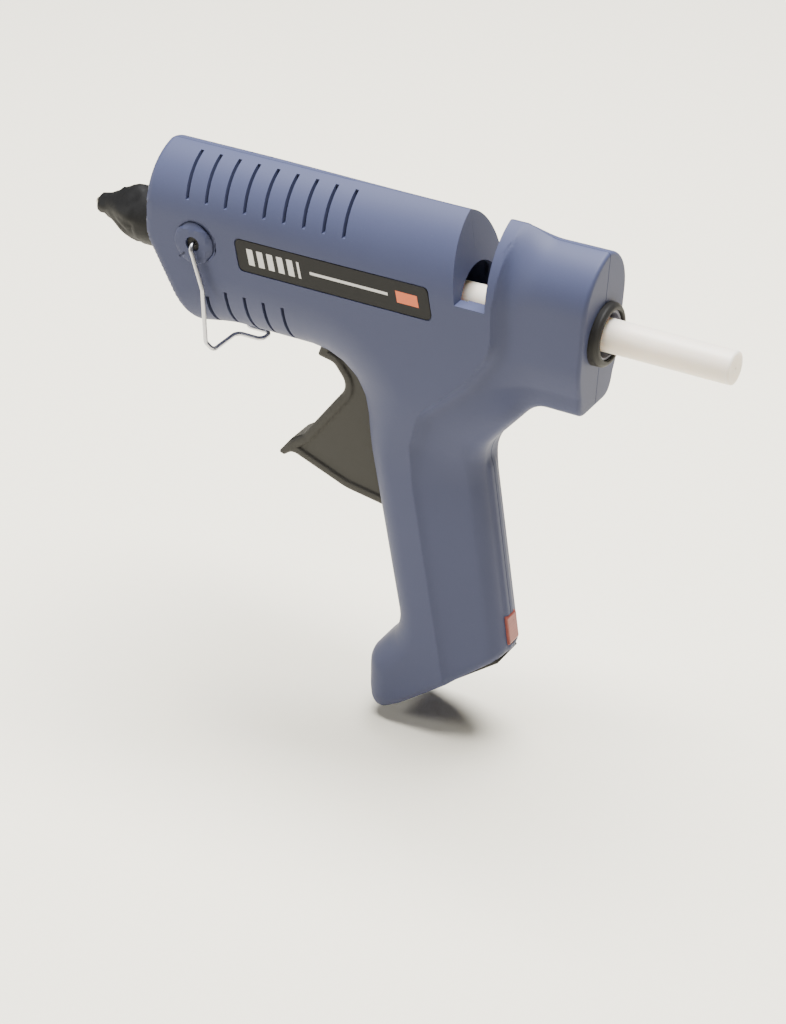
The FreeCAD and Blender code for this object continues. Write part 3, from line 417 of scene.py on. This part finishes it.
def softenEdges(piece, width, segments=2, angle=32.0):
    bevel = piece.modifiers.new("edges", "BEVEL")
    bevel.width = width
    bevel.segments = segments
    bevel.limit_method = "ANGLE"
    bevel.angle_limit = radians(angle)
    bevel.use_clamp_overlap = False
    bevel.miter_outer = "MITER_ARC"
    weighted = piece.modifiers.new("normals", "WEIGHTED_NORMAL")
    weighted.keep_sharp = True
    return piece


# The two shells are one smooth form, described by how far a point is outside it, then hollowed,
# parted along the middle and cut through. Lengths here are millimetres from the nozzle tip.

housingLook = {
    "halfWidth": 16.5, "gripHalf": 14.5, "top": 31.3, "tailDrop": 2.9, "archLean": 7.0, "archRise": 28.0,
    "bottomEase": 0.28, "shoulder": 0.5, "tailLean": 3.2, "tailRise": 18.5, "wall": 2.4,
    "chinBox": 0.42, "frontEdge": 2.0, "tailEdge": 1.3, "footEdge": 2.6, "toeEdge": 4.5,
    "gripEdge": 10.0, "backEdge": 5.0,
    "creaseDepth": 2.25, "creaseReach": 1.4, "hollow": 0.8, "facetStep": 0.95, "facetSlope": 0.26,
    "spineHalf": 2.7, "spineRise": 0.9,
    "voxel": 0.72, "quickVoxel": 1.3, "innerVoxel": 1.9, "seam": 0.22,
    "front": ((30.2, 0.0), (31.4, 30.5)), "chin": ((46.6, -29.8), (30.6, 1.0)), "chinEdge": 2.0,
    "tail": ((193.3, 28.7), (189.9, -26.8)), "foot": ((164.2, -127.1), (115.0, -164.3)),
    "gap": [(147.6, 5.6), (158.4, 5.6), (158.4, 41.0), (142.8, 41.0)], "gapLean": (144.4, 29.2),
    "bossX": 49.8, "bossZ": 3.0, "bossRadius": 7.0, "bossProud": 0.7,
    "crescentShift": 1.1, "crescentDepth": 0.9, "crescentGap": 0.25}

# side view: corners with the radius of each
sideCorners = [(0, -29.8, 0), (107.0, -29.8, 21.0), (124.0, -126.0, 15.0), (111.4, -141.0, 9.0),
               (110.6, -180.0, 0), (168.0, -180.0, 0), (164.4, -133.0, 7.0), (153.0, -50.0, 13.0),
               (173.0, -26.8, 9.0), (215.0, -26.8, 0), (215.0, 90.0, 0), (0, 90.0, 0)]
creaseCorners = [(164.4, 90.0, 0), (164.0, 36.0, 10.0), (161.8, 20.0, 20.0), (160.8, 6.0, 20.0), (160.4, -9.0, 14.0),
                 (150.5, -23.0, 16.0), (134.5, -37.5, 12.0), (130.6, -52.0, 14.0), (131.6, -66.0, 20.0),
                 (149.0, -172.0, 0), (240.0, -172.0, 0), (240.0, 90.0, 0)]


def roundedLine(corners, steps=5):
    # a closed outline with an arc at each corner
    line = []
    count = len(corners)
    for i, (x, z, radius) in enumerate(corners):
        here = Vector((x, z))
        if radius == 0:
            line.append(here)
            continue
        before = Vector(corners[i - 1][:2]) - here
        after = Vector(corners[(i + 1) % count][:2]) - here
        half = before.angle(after) / 2
        reach = radius / tan(half)
        start = here + before.normalized() * reach
        end = here + after.normalized() * reach
        middle = here + (before.normalized() + after.normalized()).normalized() * (radius / sin(half))
        sweep = (start - middle).angle_signed(end - middle)
        for k in range(steps + 1):
            arm = start - middle
            turn = Matrix.Rotation(-sweep * k / steps, 2)
            line.append(middle + turn @ arm)
    return line


def outlineDistance(x, z, line):
    # signed distance to a closed outline, negative inside
    nearest = np.full(x.shape, 1e9)
    inside = np.zeros(x.shape, dtype=bool)
    for a, b in zip(line, line[1:] + line[:1]):
        ex, ez = b[0] - a[0], b[1] - a[1]
        px, pz = x - a[0], z - a[1]
        along = np.clip((px * ex + pz * ez) / (ex * ex + ez * ez + 1e-12), 0.0, 1.0)
        nearest = np.minimum(nearest, (px - ex * along) ** 2 + (pz - ez * along) ** 2)
        if abs(ez) > 1e-9:
            crosses = (a[1] > z) != (b[1] > z)
            inside ^= crosses & (px < ex * pz / ez)
    return np.where(inside, -1.0, 1.0) * np.sqrt(nearest)


def roundMeet(a, b, radius):
    # what is in both, with the edge between them rounded
    ua, ub = np.maximum(a + radius, 0.0), np.maximum(b + radius, 0.0)
    return np.minimum(np.maximum(a, b), -radius) + np.sqrt(ua * ua + ub * ub)


def roundJoin(a, b, radius):
    return -roundMeet(-a, -b, radius)


def ease(value, low, high):
    t = np.clip((value - low) / (high - low), 0.0, 1.0)
    return t * t * (3.0 - 2.0 * t)


def planeThrough(x, z, a, b):
    # distance to the line from a to b, positive on its left
    ex, ez = b[0] - a[0], b[1] - a[1]
    return ((z - a[1]) * ex - (x - a[0]) * ez) / (ex * ex + ez * ez) ** 0.5


sideLine = roundedLine(sideCorners)
creaseLine = roundedLine(creaseCorners)


def arch(y, z, half, top, lean, rise):
    # an upright side that leans over to a ridge: part of an ellipse on each side of the middle
    wide = half + lean
    up = np.maximum(z - top + rise * np.sqrt(1.0 - (lean / wide) ** 2), 0.0)
    across = y + lean
    k0 = np.sqrt((across / wide) ** 2 + (up / rise) ** 2)
    k1 = np.sqrt((across / wide ** 2) ** 2 + (up / rise ** 2) ** 2)
    return k0 * (k0 - 1.0) / k1


def housingDistance(points, look, hollow=0.0):
    x, y, z = points[:, 0], np.abs(points[:, 1]), points[:, 2]
    edge = outlineDistance(x, z, sideLine)
    behind = np.maximum(-outlineDistance(x, z, creaseLine), 0.0)
    low = ease(z, -30.0, -64.0)                     # 0 at the barrel, 1 on the handle
    half = look["halfWidth"] + (look["gripHalf"] - look["halfWidth"]) * low
    step = 1.0 - np.exp(-behind / look["creaseReach"])
    sweep = look["creaseDepth"] * step + look["hollow"] * (behind / 5.0) * np.exp(1.0 - behind / 5.0)
    facet = look["facetStep"] * step + look["facetSlope"] * behind
    half = half - (sweep * (1.0 - low) + facet * low)
    onBarrel = ease(z, -62.0, -30.0) * ease(x, 172.0, 120.0) + ease(z, -34.0, -12.0) * ease(x, 120.0, 172.0)
    edgeRound = look["gripEdge"] + (look["backEdge"] - look["gripEdge"]) * ease(behind, 4.0, 18.0)
    edgeRound = edgeRound + (look["halfWidth"] - edgeRound) * np.clip(onBarrel, 0.0, 1.0)
    edgeRound = np.minimum(edgeRound, half - 0.1) * (1.0 - look["chinBox"] * ease(x, 62.0, 40.0) * onBarrel)
    spineHere = ease(z, -44.0, -60.0) * ease(behind, 6.0, 14.0)
    onTail = ease(behind, 0.0, 13.0) * ease(z, -10.0, 10.0)
    top = look["top"] - look["tailDrop"] * onTail
    shoulder = look["shoulder"] * ease(x, 140.0, 60.0)
    lean = look["archLean"] * (1.0 - shoulder) + (look["tailLean"] - look["archLean"]) * onTail
    rise = look["archRise"] * (1.0 - shoulder * 0.5) + (look["tailRise"] - look["archRise"]) * onTail
    softEdge = edge * (1.0 - look["bottomEase"] * np.clip(onBarrel, 0.0, 1.0))
    body = roundMeet(softEdge + look["spineRise"] * spineHere, arch(y, z, half, top, lean, rise), edgeRound)
    spine = roundMeet(edge, y - look["spineHalf"], 1.2) + (1.0 - spineHere) * 6.0
    body = roundJoin(body, spine, 0.9)
    front = roundMeet(planeThrough(x, z, *look["front"]), planeThrough(x, z, *look["chin"]), look["chinEdge"])
    body = roundMeet(body, front, look["frontEdge"])
    body = roundMeet(body, planeThrough(x, z, *look["tail"]), look["tailEdge"])
    body = roundMeet(body, planeThrough(x, z, *look["foot"]),
                     look["footEdge"] + look["toeEdge"] * ease(x, 128.0, 114.0))
    disc = np.sqrt((x - look["bossX"]) ** 2 + (z - look["bossZ"]) ** 2) - look["bossRadius"]
    boss = roundMeet(disc, y - look["halfWidth"] - look["bossProud"], 0.5)
    boss = np.maximum(boss, 8.0 - y)
    body = roundJoin(body, boss, 0.4)
    # crescent hollow round the top and back of the boss
    shift = look["crescentShift"]
    crescent = np.sqrt((x - look["bossX"] - shift) ** 2 + (z - look["bossZ"] - shift) ** 2)
    crescent = crescent - look["bossRadius"]
    floor = look["halfWidth"] - look["crescentDepth"] - y
    crescent = np.maximum(crescent, np.maximum(look["crescentGap"] - disc, floor))
    body = np.maximum(body, -crescent)
    if hollow:
        # the inside stops short of the gap as well, which is cut from the outside later
        (front, floor), (rear, _) = look["gap"][:2]
        gap = np.maximum(np.maximum(planeThrough(x, z, (front, floor), look["gapLean"]), x - rear), floor - z)
        body = np.maximum(body, -gap) + hollow
    return body


def settle(bm, distance, passes):
    # moves every vertex on to the form, evening the mesh between passes
    for k in range(passes):
        if k:
            bmesh.ops.smooth_vert(bm, verts=bm.verts, factor=0.5,
                                  use_axis_x=True, use_axis_y=True, use_axis_z=True)
        points = np.array([v.co[:] for v in bm.verts])
        for step in range(3):
            value = distance(points)
            slope = np.empty_like(points)
            for axis in range(3):
                moved = points.copy()
                moved[:, axis] += 0.02
                slope[:, axis] = (distance(moved) - value) / 0.02
            size = np.maximum((slope ** 2).sum(axis=1), 0.2)
            points -= slope * (value / size)[:, None]
        for vert, point in zip(bm.verts, points):
            vert.co = point


def applied(bm, name, setUp):
    # runs modifiers on a bmesh and gives back the result
    mesh = bpy.data.meshes.new(name)
    bm.to_mesh(mesh)
    bm.free()
    holder = bpy.data.objects.new(name, mesh)
    bpy.context.scene.collection.objects.link(holder)
    setUp(holder)
    bpy.context.view_layer.update()
    result = bpy.data.meshes.new_from_object(holder.evaluated_get(bpy.context.evaluated_depsgraph_get()))
    bpy.data.objects.remove(holder)
    out = bmesh.new()
    out.from_mesh(result)
    bpy.data.meshes.remove(result)
    bpy.data.meshes.remove(mesh)
    return out


def roughSlab(corners, halfWidth, voxel):
    # a side view as a slab, remade as even squares
    bm = bmesh.new()
    face = bm.faces.new([bm.verts.new((x, -halfWidth, z)) for x, z in corners])
    made = bmesh.ops.extrude_face_region(bm, geom=[face])
    moved = [v for v in made["geom"] if isinstance(v, bmesh.types.BMVert)]
    bmesh.ops.translate(bm, verts=moved, vec=(0, halfWidth * 2, 0))
    bmesh.ops.triangulate(bm, faces=bm.faces)
    bmesh.ops.recalc_face_normals(bm, faces=bm.faces)

    def setUp(holder):
        remesh = holder.modifiers.new("even", "REMESH")
        remesh.mode = "VOXEL"
        remesh.voxel_size = voxel
    return applied(bm, "roughSlab", setUp)


def roughBlock(halfWidth, voxel, gap):
    corners = [(31, 0), (45, -29), (90, -29), (104, -36), (110, -48), (122, -124), (112, -142), (111, -158),
               (112.5, -164.5), (163, -128), (155, -58), (160, -44), (172, -27), (190, -26), (193, 28), (176, 28),
               (166, 31), (34, 31)]
    if gap:
        corners[-1:-1] = [(161, 30), (161, 3), (145, 3), (142, 30)]
    return roughSlab(corners, halfWidth, voxel)


def sharpen(bm, angle):
    # finer faces where the form turns quickly
    tight = [e for e in bm.edges if len(e.link_faces) == 2 and e.calc_face_angle(0.0) > radians(angle)]
    faces = {f for e in tight for v in e.verts for f in v.link_faces}
    edges = {e for f in faces for e in f.edges}
    bmesh.ops.subdivide_edges(bm, edges=list(edges), cuts=1, use_grid_fill=True)


def makeForm(look):
    voxel = look["voxel"]
    outer = roughBlock(13.5, voxel, False)
    def outside(points):
        return housingDistance(points, look)

    def within(points):
        return housingDistance(points, look, look["wall"])
    settle(outer, outside, 4)
    sharpen(outer, 16.0)
    settle(outer, outside, 1)
    inner = roughBlock(11.0, look["innerVoxel"], True)
    settle(inner, within, 3)
    bmesh.ops.reverse_faces(inner, faces=inner.faces)
    spare = bpy.data.meshes.new("inner")
    inner.to_mesh(spare)
    inner.free()
    outer.from_mesh(spare)
    bpy.data.meshes.remove(spare)
    return outer


def leftHalf(form, look):
    # the near shell: an extra loop beside the middle, then everything past the middle cut away
    geom = list(form.verts) + list(form.edges) + list(form.faces)
    bmesh.ops.bisect_plane(form, geom=geom, plane_co=(0, -look["seam"], 0), plane_no=(0, 1, 0), dist=1e-4)
    farSide = bmesh.new()
    addBlock(farSide, (-20, -0.01, -200), (230, 40, 60))
    bmesh.ops.subdivide_edges(farSide, edges=farSide.edges, cuts=34, use_grid_fill=True)
    bm = cutAway(form, farSide, "farSide")
    # the outer rim drawn in a little, which leaves a fine groove along the seam
    rim = [v for v in bm.verts if abs(v.co.y + 0.01) < 1e-3]
    points = np.array([v.co[:] for v in rim])
    outside = housingDistance(points, look) > -look["wall"] / 2
    bm.normal_update()
    pulls = [Vector((v.normal.x, 0, v.normal.z)).normalized() * look["seam"] for v in rim]
    for vert, pull, isOut in zip(rim, pulls, outside):
        if isOut:
            vert.co -= pull
    return bm


def addBlock(bm, low, high):
    made = bmesh.ops.create_cube(bm, size=1.0)["verts"]
    low, high = Vector(low), Vector(high)
    bmesh.ops.scale(bm, verts=made, vec=high - low)
    bmesh.ops.translate(bm, verts=made, vec=(low + high) / 2)
    return made


def addRod(bm, start, end, radius, sides=40):
    # a round bar between two points
    start, end = Vector(start), Vector(end)
    made = bmesh.ops.create_cone(bm, cap_ends=True, segments=sides, radius1=radius, radius2=radius,
                                 depth=(end - start).length)["verts"]
    turn = (end - start).to_track_quat("Z", "Y").to_matrix()
    bmesh.ops.rotate(bm, verts=made, matrix=turn)
    bmesh.ops.translate(bm, verts=made, vec=(start + end) / 2)
    return made


def addPlate(bm, line, y0, y1):
    # a side-view outline given thickness from y0 to y1
    verts = [bm.verts.new((x, y0, z)) for x, z in line]
    face = bm.faces.new(verts)
    made = bmesh.ops.extrude_face_region(bm, geom=[face])["geom"]
    moved = [v for v in made if isinstance(v, bmesh.types.BMVert)]
    bmesh.ops.translate(bm, verts=moved, vec=(0, y1 - y0, 0))
    bmesh.ops.recalc_face_normals(bm, faces=bm.faces)
    return moved


# blocks are given by two corners, holes by both ends and a radius
openingLook = {
    "ventFirst": 46.6, "ventPitch": 7.35, "ventWidth": 1.25, "ventCount": 9, "ventLean": 6.0, "ventFoot": 18.0,
    "ventStart": (-20.0, 17.6), "ventEnd": (-3.2, 35.0),
    "lowVentFirst": 53.4, "lowVentCount": 5, "lowVentStart": (-20.0, -33.0), "lowVentInside": -6.0,
    "lowVentTop": -12.2, "firstLowVentTop": -15.6,
    "standHole": 2.6, "labelRoom": 0.3,
    "notch": ((-2.0, -18.0, -0.35), (1.6, -16.3, 0.35)), "notchTurn": -42.0, "notchPlace": (45.6, 0.0, -1.6),
    "mouth": ((18, 0, 0), (40, 0, 0), 11.0), "triggerSlot": ((89, -7.6, -87), (125.3, 1, -23.5)),
    "lensWindow": ((156.4, -3.2, -125.2), (170, 1, -114.2)), "ringNeck": ((183.5, 0, 0), (190.9, 0, 0), 9.55),
    "feedRoom": ((138.6, -11, -5.5), (160.4, 1, 5.75)), "ringSeat": ((190.7, 0, 0), (200, 0, 0), 10.6),
    "foot": ((-13.6, -7.1, -8), (13.6, 1, 6)), "footTurn": -37.13, "footPlace": (149.5, 0, -138.0835),
    "frontHole": ((138.6, 0, 0), (150, 0, 0), 13.2), "rearHole": ((155.4, 0, 0), (167, 0, 0), 7.1)}
labelLook = {"front": 65.7, "slant": 2.0, "length": 72.0, "top": 8.9, "height": 11.0, "corner": 2.0, "depth": 0.6,
             "film": (0.008, 0.008, 0.0085), "ink": (0.62, 0.61, 0.6), "accent": (0.68, 0.16, 0.07), "middle": 3.4}
screwPlaces = [(72, 22), (138.5, 21), (66, -22.5), (181, 18.5), (173, -18.5), (133, -100), (132, -143)]


def labelLine(look, grow):
    top, bottom = look["top"] + grow, look["top"] - look["height"] - grow
    front, rear = look["front"] - grow, look["front"] + look["length"] + grow
    slant, corner = look["slant"], look["corner"]
    return roundedLine([(front + slant, bottom, corner), (rear + slant, bottom, corner),
                        (rear, top, corner), (front, top, corner)])


def turnedBlock(bm, corners, angle, place):
    block = addBlock(bm, *corners)
    bmesh.ops.rotate(bm, verts=block, matrix=Matrix.Rotation(radians(angle), 3, "Y"))
    bmesh.ops.translate(bm, verts=block, vec=place)


def cutters(look):
    # every opening in the near shell, in groups whose members don't touch one another
    gap, first, second, third = bmesh.new(), bmesh.new(), bmesh.new(), bmesh.new()
    addPlate(gap, housingLook["gap"], -24, 1)
    lean = Matrix.Rotation(radians(-look["ventLean"]), 3, "Y")
    for k in range(look["ventCount"]):
        x = look["ventFirst"] + look["ventPitch"] * k
        vent = addBlock(first, (x, *look["ventStart"]), (x + look["ventWidth"], *look["ventEnd"]))
        bmesh.ops.rotate(first, verts=vent, cent=(x, 0, look["ventFoot"]), matrix=lean)
    for k in range(look["lowVentCount"]):
        x = look["lowVentFirst"] + look["ventPitch"] * k
        top = look["lowVentTop"] if k else look["firstLowVentTop"]
        addBlock(first, (x, *look["lowVentStart"]), (x + look["ventWidth"], look["lowVentInside"], top))
    labelFloor = labelLook["depth"] - housingLook["halfWidth"]
    addPlate(first, labelLine(labelLook, look["labelRoom"]), -20, labelFloor)
    bossX, bossZ = housingLook["bossX"], housingLook["bossZ"]
    addRod(first, (bossX, -30, bossZ), (bossX, 1, bossZ), look["standHole"])
    turnedBlock(first, look["notch"], look["notchTurn"], look["notchPlace"])
    addRod(first, *look["mouth"], 64)
    addBlock(first, *look["triggerSlot"])
    addBlock(first, *look["lensWindow"])
    addRod(first, *look["ringNeck"], 64)
    addBlock(second, *look["feedRoom"])
    addRod(second, *look["ringSeat"], 64)
    turnedBlock(second, look["foot"], look["footTurn"], look["footPlace"])
    addRod(third, *look["frontHole"], 64)
    addRod(third, *look["rearHole"], 48)
    return [gap, first, second, third]


def cutAway(bm, cutter, name):
    bmesh.ops.recalc_face_normals(cutter, faces=cutter.faces)
    mesh = bpy.data.meshes.new(name)
    cutter.to_mesh(mesh)
    cutter.free()
    tool = bpy.data.objects.new(name, mesh)
    bpy.context.scene.collection.objects.link(tool)

    def setUp(holder):
        boolean = holder.modifiers.new("cut", "BOOLEAN")
        boolean.operation = "DIFFERENCE"
        boolean.solver = "MANIFOLD"
        boolean.object = tool
    out = applied(bm, name, setUp)
    bpy.data.objects.remove(tool)
    bpy.data.meshes.remove(mesh)
    return out


def toFrame(bm):
    # millimetres from the nozzle tip to metres in the frame
    bmesh.ops.scale(bm, verts=bm.verts, vec=(mm, mm, mm))
    bmesh.ops.translate(bm, verts=bm.verts, vec=place(0, 0, 0))


def makeShells():
    shell = leftHalf(makeForm(housingLook), housingLook)
    for k, cutter in enumerate(cutters(openingLook)):
        before = len(shell.faces)
        shell = cutAway(shell, cutter, f"cut{k}")
        print("cut", k, before, len(shell.faces), "open edges", sum(not e.is_manifold for e in shell.edges))
    mirrored = shell.copy()
    bmesh.ops.scale(mirrored, verts=mirrored.verts, vec=(1, -1, 1))
    bmesh.ops.reverse_faces(mirrored, faces=mirrored.faces)
    heads = bmesh.new()
    for x, z in screwPlaces:
        addRod(heads, (x, 8.5, z), (x, 22, z), 3.0, 32)
    mirrored = cutAway(mirrored, heads, "heads")
    for side, bm in (("left", shell), ("right", mirrored)):
        toFrame(bm)
        finishPiece(side.title() + "Housing", bm, side + "_shell", "bluePlastic", 30.0)


makeShells()
print("shells made")

def turnedForm(profile, steps=64):
    # a closed profile of (x, radius) points spun about the stick's centre line
    bm = bmesh.new()
    verts = [bm.verts.new((x, 0, radius)) for x, radius in profile]
    edges = [bm.edges.new((a, b)) for a, b in zip(verts, verts[1:] + verts[:1])]
    bmesh.ops.spin(bm, geom=verts + edges, cent=(0, 0, 0), axis=(1, 0, 0), angle=2 * pi,
                   steps=steps, use_merge=True)
    bmesh.ops.remove_doubles(bm, verts=bm.verts, dist=0.001)
    bmesh.ops.recalc_face_normals(bm, faces=bm.faces)
    return bm


sleeveLook = {"tip": 1.6, "lobes": 5, "lobeDepth": 0.9, "lump": 0.9}


def makeSleeve(look):
    # soft rubber moulded over the nozzle: a few shallow flats and uneven skin, more of both towards the body
    outside = [(look["tip"], 2.9), (2.4, 3.35), (4.2, 3.75), (5.8, 4.35), (7.4, 5.0), (9.0, 5.75),
               (10.8, 6.6), (12.6, 7.55), (14.6, 8.4), (17.0, 9.1), (19.4, 9.6), (20.6, 9.9),
               (22.0, 10.2), (26.0, 10.2), (31.0, 10.2)]
    inside = [(31.0, 7.05), (25.0, 7.05), (25.0, 5.65), (13.0, 5.65), (6.3, 2.6), (look["tip"], 2.6)]
    bm = turnedForm(outside + inside, 72)
    for vert in bm.verts:
        x, y, z = vert.co
        radius = (y * y + z * z) ** 0.5
        skin = radius - 2.7 if x < 6.3 else radius - 5.8
        if skin < 0.15 or x > 30:
            continue
        around = np.arctan2(y, z)
        swell = min(max((x - 3.0) / 8.0, 0.0), 1.0)
        flat = look["lobeDepth"] * (abs(cos(around * look["lobes"] / 2)) ** 3 - 0.4) * swell
        lump = look["lump"] * noise.noise(Vector((x, y, z)) * 0.33)
        change = min(flat + lump, 10.2 - radius) if x < 20 else lump * 0.3 - 0.1
        vert.co.y *= 1 + change / radius
        vert.co.z *= 1 + change / radius
    toFrame(bm)
    return finishPiece("NozzleSleeve", bm, "nozzle_sleeve", "silicone", 40.0)


def makeNozzle():
    tip = [(0.0, 0.6), (0.0, 1.0), (0.3, 1.35), (1.0, 1.75), (1.6, 2.2), (1.8, 2.55), (6.3, 2.55),
           (13.0, 5.6), (25.0, 5.6), (25.0, 7.0), (33.0, 7.0), (33.0, 4.0), (40.0, 4.0), (40.0, 2.1), (6.0, 1.2)]
    bm = turnedForm(tip, 48)
    toFrame(bm)
    return finishPiece("Nozzle", bm, "nozzle", "nozzleMetal", 30.0)


makeSleeve(sleeveLook)
makeNozzle()
print("nozzle made")

triggerLook = {"half": 6.8, "edge": 1.5, "rim": 1.5, "rimSlope": 0.8, "dip": 0.7, "voxel": 0.55, "quickVoxel": 0.9,
               "leverLevel": -24.5}
triggerCorners = [(92.8, -26.0, 2.0), (90.4, -32.2, 0.9), (96.8, -33.5, 3.5), (102.3, -40.8, 5.5),
                  (97.0, -47.6, 9.0), (84.2, -64.4, 5.0), (79.2, -67.6, 4.0), (74.2, -73.9, 0.7), (76.6, -74.6, 0.8),
                  (79.8, -72.1, 4.0), (101.0, -80.3, 22.0), (118.8, -83.2, 2.5), (122.6, -80.0, 2.5),
                  (118.0, -50.0, 14.0), (112.6, -24.0, 3.0), (104.0, -22.6, 4.0)]


def makeTrigger(look):
    # blade with rounded edges and a rim round its sides, and above it the hub and arms of the lever
    line = roundedLine(triggerCorners, 7)
    rim = look["edge"] + look["rim"]
    voxel = look["voxel"]

    def blade(points):
        edge = outlineDistance(points[:, 0], points[:, 2], line)
        dip = look["dip"] * ease(-edge, rim, rim + look["rimSlope"])
        return roundMeet(edge, np.abs(points[:, 1]) - look["half"] + dip, look["edge"])
    bm = roughSlab([(p.x, p.y) for p in line], look["half"] - 1.0, voxel)
    settle(bm, blade, 4)
    sharpen(bm, 20.0)
    settle(bm, blade, 1)
    lever = fromCad("trigger")
    bmesh.ops.transform(lever, matrix=Matrix.Translation(-place(0, 0, 0)), verts=lever.verts)
    bmesh.ops.scale(lever, verts=lever.verts, vec=(1 / mm, 1 / mm, 1 / mm))
    geom = list(lever.verts) + list(lever.edges) + list(lever.faces)
    bmesh.ops.bisect_plane(lever, geom=geom, plane_co=(0, 0, look["leverLevel"]), plane_no=(0, 0, -1),
                           clear_outer=True, dist=1e-4)
    bmesh.ops.holes_fill(lever, edges=[e for e in lever.edges if e.is_boundary], sides=0)
    spare = bpy.data.meshes.new("lever")
    lever.to_mesh(spare)
    lever.free()
    bm.from_mesh(spare)
    bpy.data.meshes.remove(spare)
    toFrame(bm)
    return finishPiece("TriggerBlade", bm, "trigger", "triggerPlastic", 34.0)


makeTrigger(triggerLook)
print("trigger made")


finishes["labelFilm"] = labelFinish(labelLook)

slots = {row["node"]: row["material_slot"] for row in frame["record"]["subparts"]}
finishOfSlot = {
    "blue_plastic": "bluePlastic", "black_plastic": "blackPlastic", "trigger_plastic": "triggerPlastic",
    "label_film": "labelFilm", "silicone": "silicone", "nozzle_metal": "nozzleMetal", "cast_alloy": "castAlloy",
    "ptc_ceramic": "ptcCeramic", "brass_sheet": "brassSheet", "film": "film", "spring_steel": "springSteel",
    "fuse_body": "fuseBody", "ring_grey": "ringGrey", "glue": "glue", "screw_steel": "screwSteel",
    "lens_red": "lensRed", "lamp_glass": "lampGlass", "board": "board", "lead_sleeve": "leadSleeve",
    "clear_nylon": "clearNylon"}
edgeWidths = {"glue_stick": 0.5, "indicator_lens": 0.3,
              "foot_plate": 0.3, "contact_block": 0.3, "carriage": 0.4, "melt_chamber": 0.3, "circuit_board": 0.1,
              "stick_ring": 0.35, "ring_lining": 0.2, "left_label": 0.12, "right_label": 0.12, "front_ring": 0.3,
              "ptc_elements": 0.15, "shell_screws": 0.15, "spring_rod": 0.2, "stick_guide": 0.2}

madeAnew = {"left_shell", "right_shell", "nozzle", "nozzle_sleeve", "trigger"}
for node in sorted(set(frame["nodes"]) - madeAnew):
    bm = fromCad(node)
    piece = finishPiece(node.title().replace("_", ""), bm, node, finishOfSlot[slots[node]])
    if node in edgeWidths:
        softenEdges(piece, edgeWidths[node] * mm)
    if node == "return_spring":
        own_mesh(piece)
print("other pieces made:", len(frame["nodes"]) - len(madeAnew))


def makeFloor(look):
    bm = bmesh.new()
    bmesh.ops.create_grid(bm, x_segments=2, y_segments=2, size=look["size"])
    mesh = bpy.data.meshes.new("floor")
    bm.to_mesh(mesh)
    bm.free()
    floor = bpy.data.objects.new("floor", mesh)
    bpy.context.scene.collection.objects.link(floor)
    floor.location.z = look["level"]
    material, shader, start, coords = newFinish("floorPaper", roughness=0.9, specular=0.15)
    fibre = noiseAt(start, coords, 300.0, 3.0)
    start.plug(shader.inputs["Base Color"], fibre.mixTo(look["dark"], look["light"]))
    mesh.materials.append(material)


makeFloor({"size": 4.0, "level": -0.3 * mm, "dark": (0.92, 0.87, 0.73), "light": (0.95, 0.90, 0.76)})


def softLight(name, size, power, position, aim, colour=(1.0, 1.0, 1.0)):
    data = bpy.data.lights.new(name, "AREA")
    data.shape = "DISK"
    data.size = size
    data.energy = power
    data.color = colour
    lamp = bpy.data.objects.new(name, data)
    bpy.context.scene.collection.objects.link(lamp)
    lamp.location = position
    lamp.rotation_euler = (Vector(aim) - Vector(position)).to_track_quat("-Z", "Y").to_euler()


softLight("keyLight", 0.4, 11.0, (-1.2, -0.75, 0.6), (0, 0, 0.08))
softLight("topLight", 1.2, 112.0, (0.0, 0.2, 1.6), (0, 0, 0))
world = bpy.data.worlds.new("room")
world.use_nodes = True
world.node_tree.nodes["Background"].inputs["Color"].default_value = (1.0, 0.99, 0.97, 1.0)
world.node_tree.nodes["Background"].inputs["Strength"].default_value = 0.08
bpy.context.scene.world = world

cameraLook = {"azimuth": 30.22, "elevation": 31.39, "distance": 1.0,
              "target": (-2.57, 0.0, 75.72), "lens": 103.9}


def makeCamera(look):
    data = bpy.data.cameras.new("camera")
    data.lens = look["lens"]
    data.sensor_width = 36.0
    data.sensor_fit = "AUTO"
    camera = bpy.data.objects.new("camera", data)
    bpy.context.scene.collection.objects.link(camera)
    a, e = radians(look["azimuth"]), radians(look["elevation"])
    away = Vector((sin(a) * cos(e), -cos(a) * cos(e), sin(e)))
    target = Vector(look["target"]) * mm
    camera.location = target + away * look["distance"]
    camera.rotation_euler = (-away).to_track_quat("-Z", "Y").to_euler()
    data.clip_end = 20.0
    bpy.context.scene.camera = camera


makeCamera(cameraLook)
print("room and camera made")
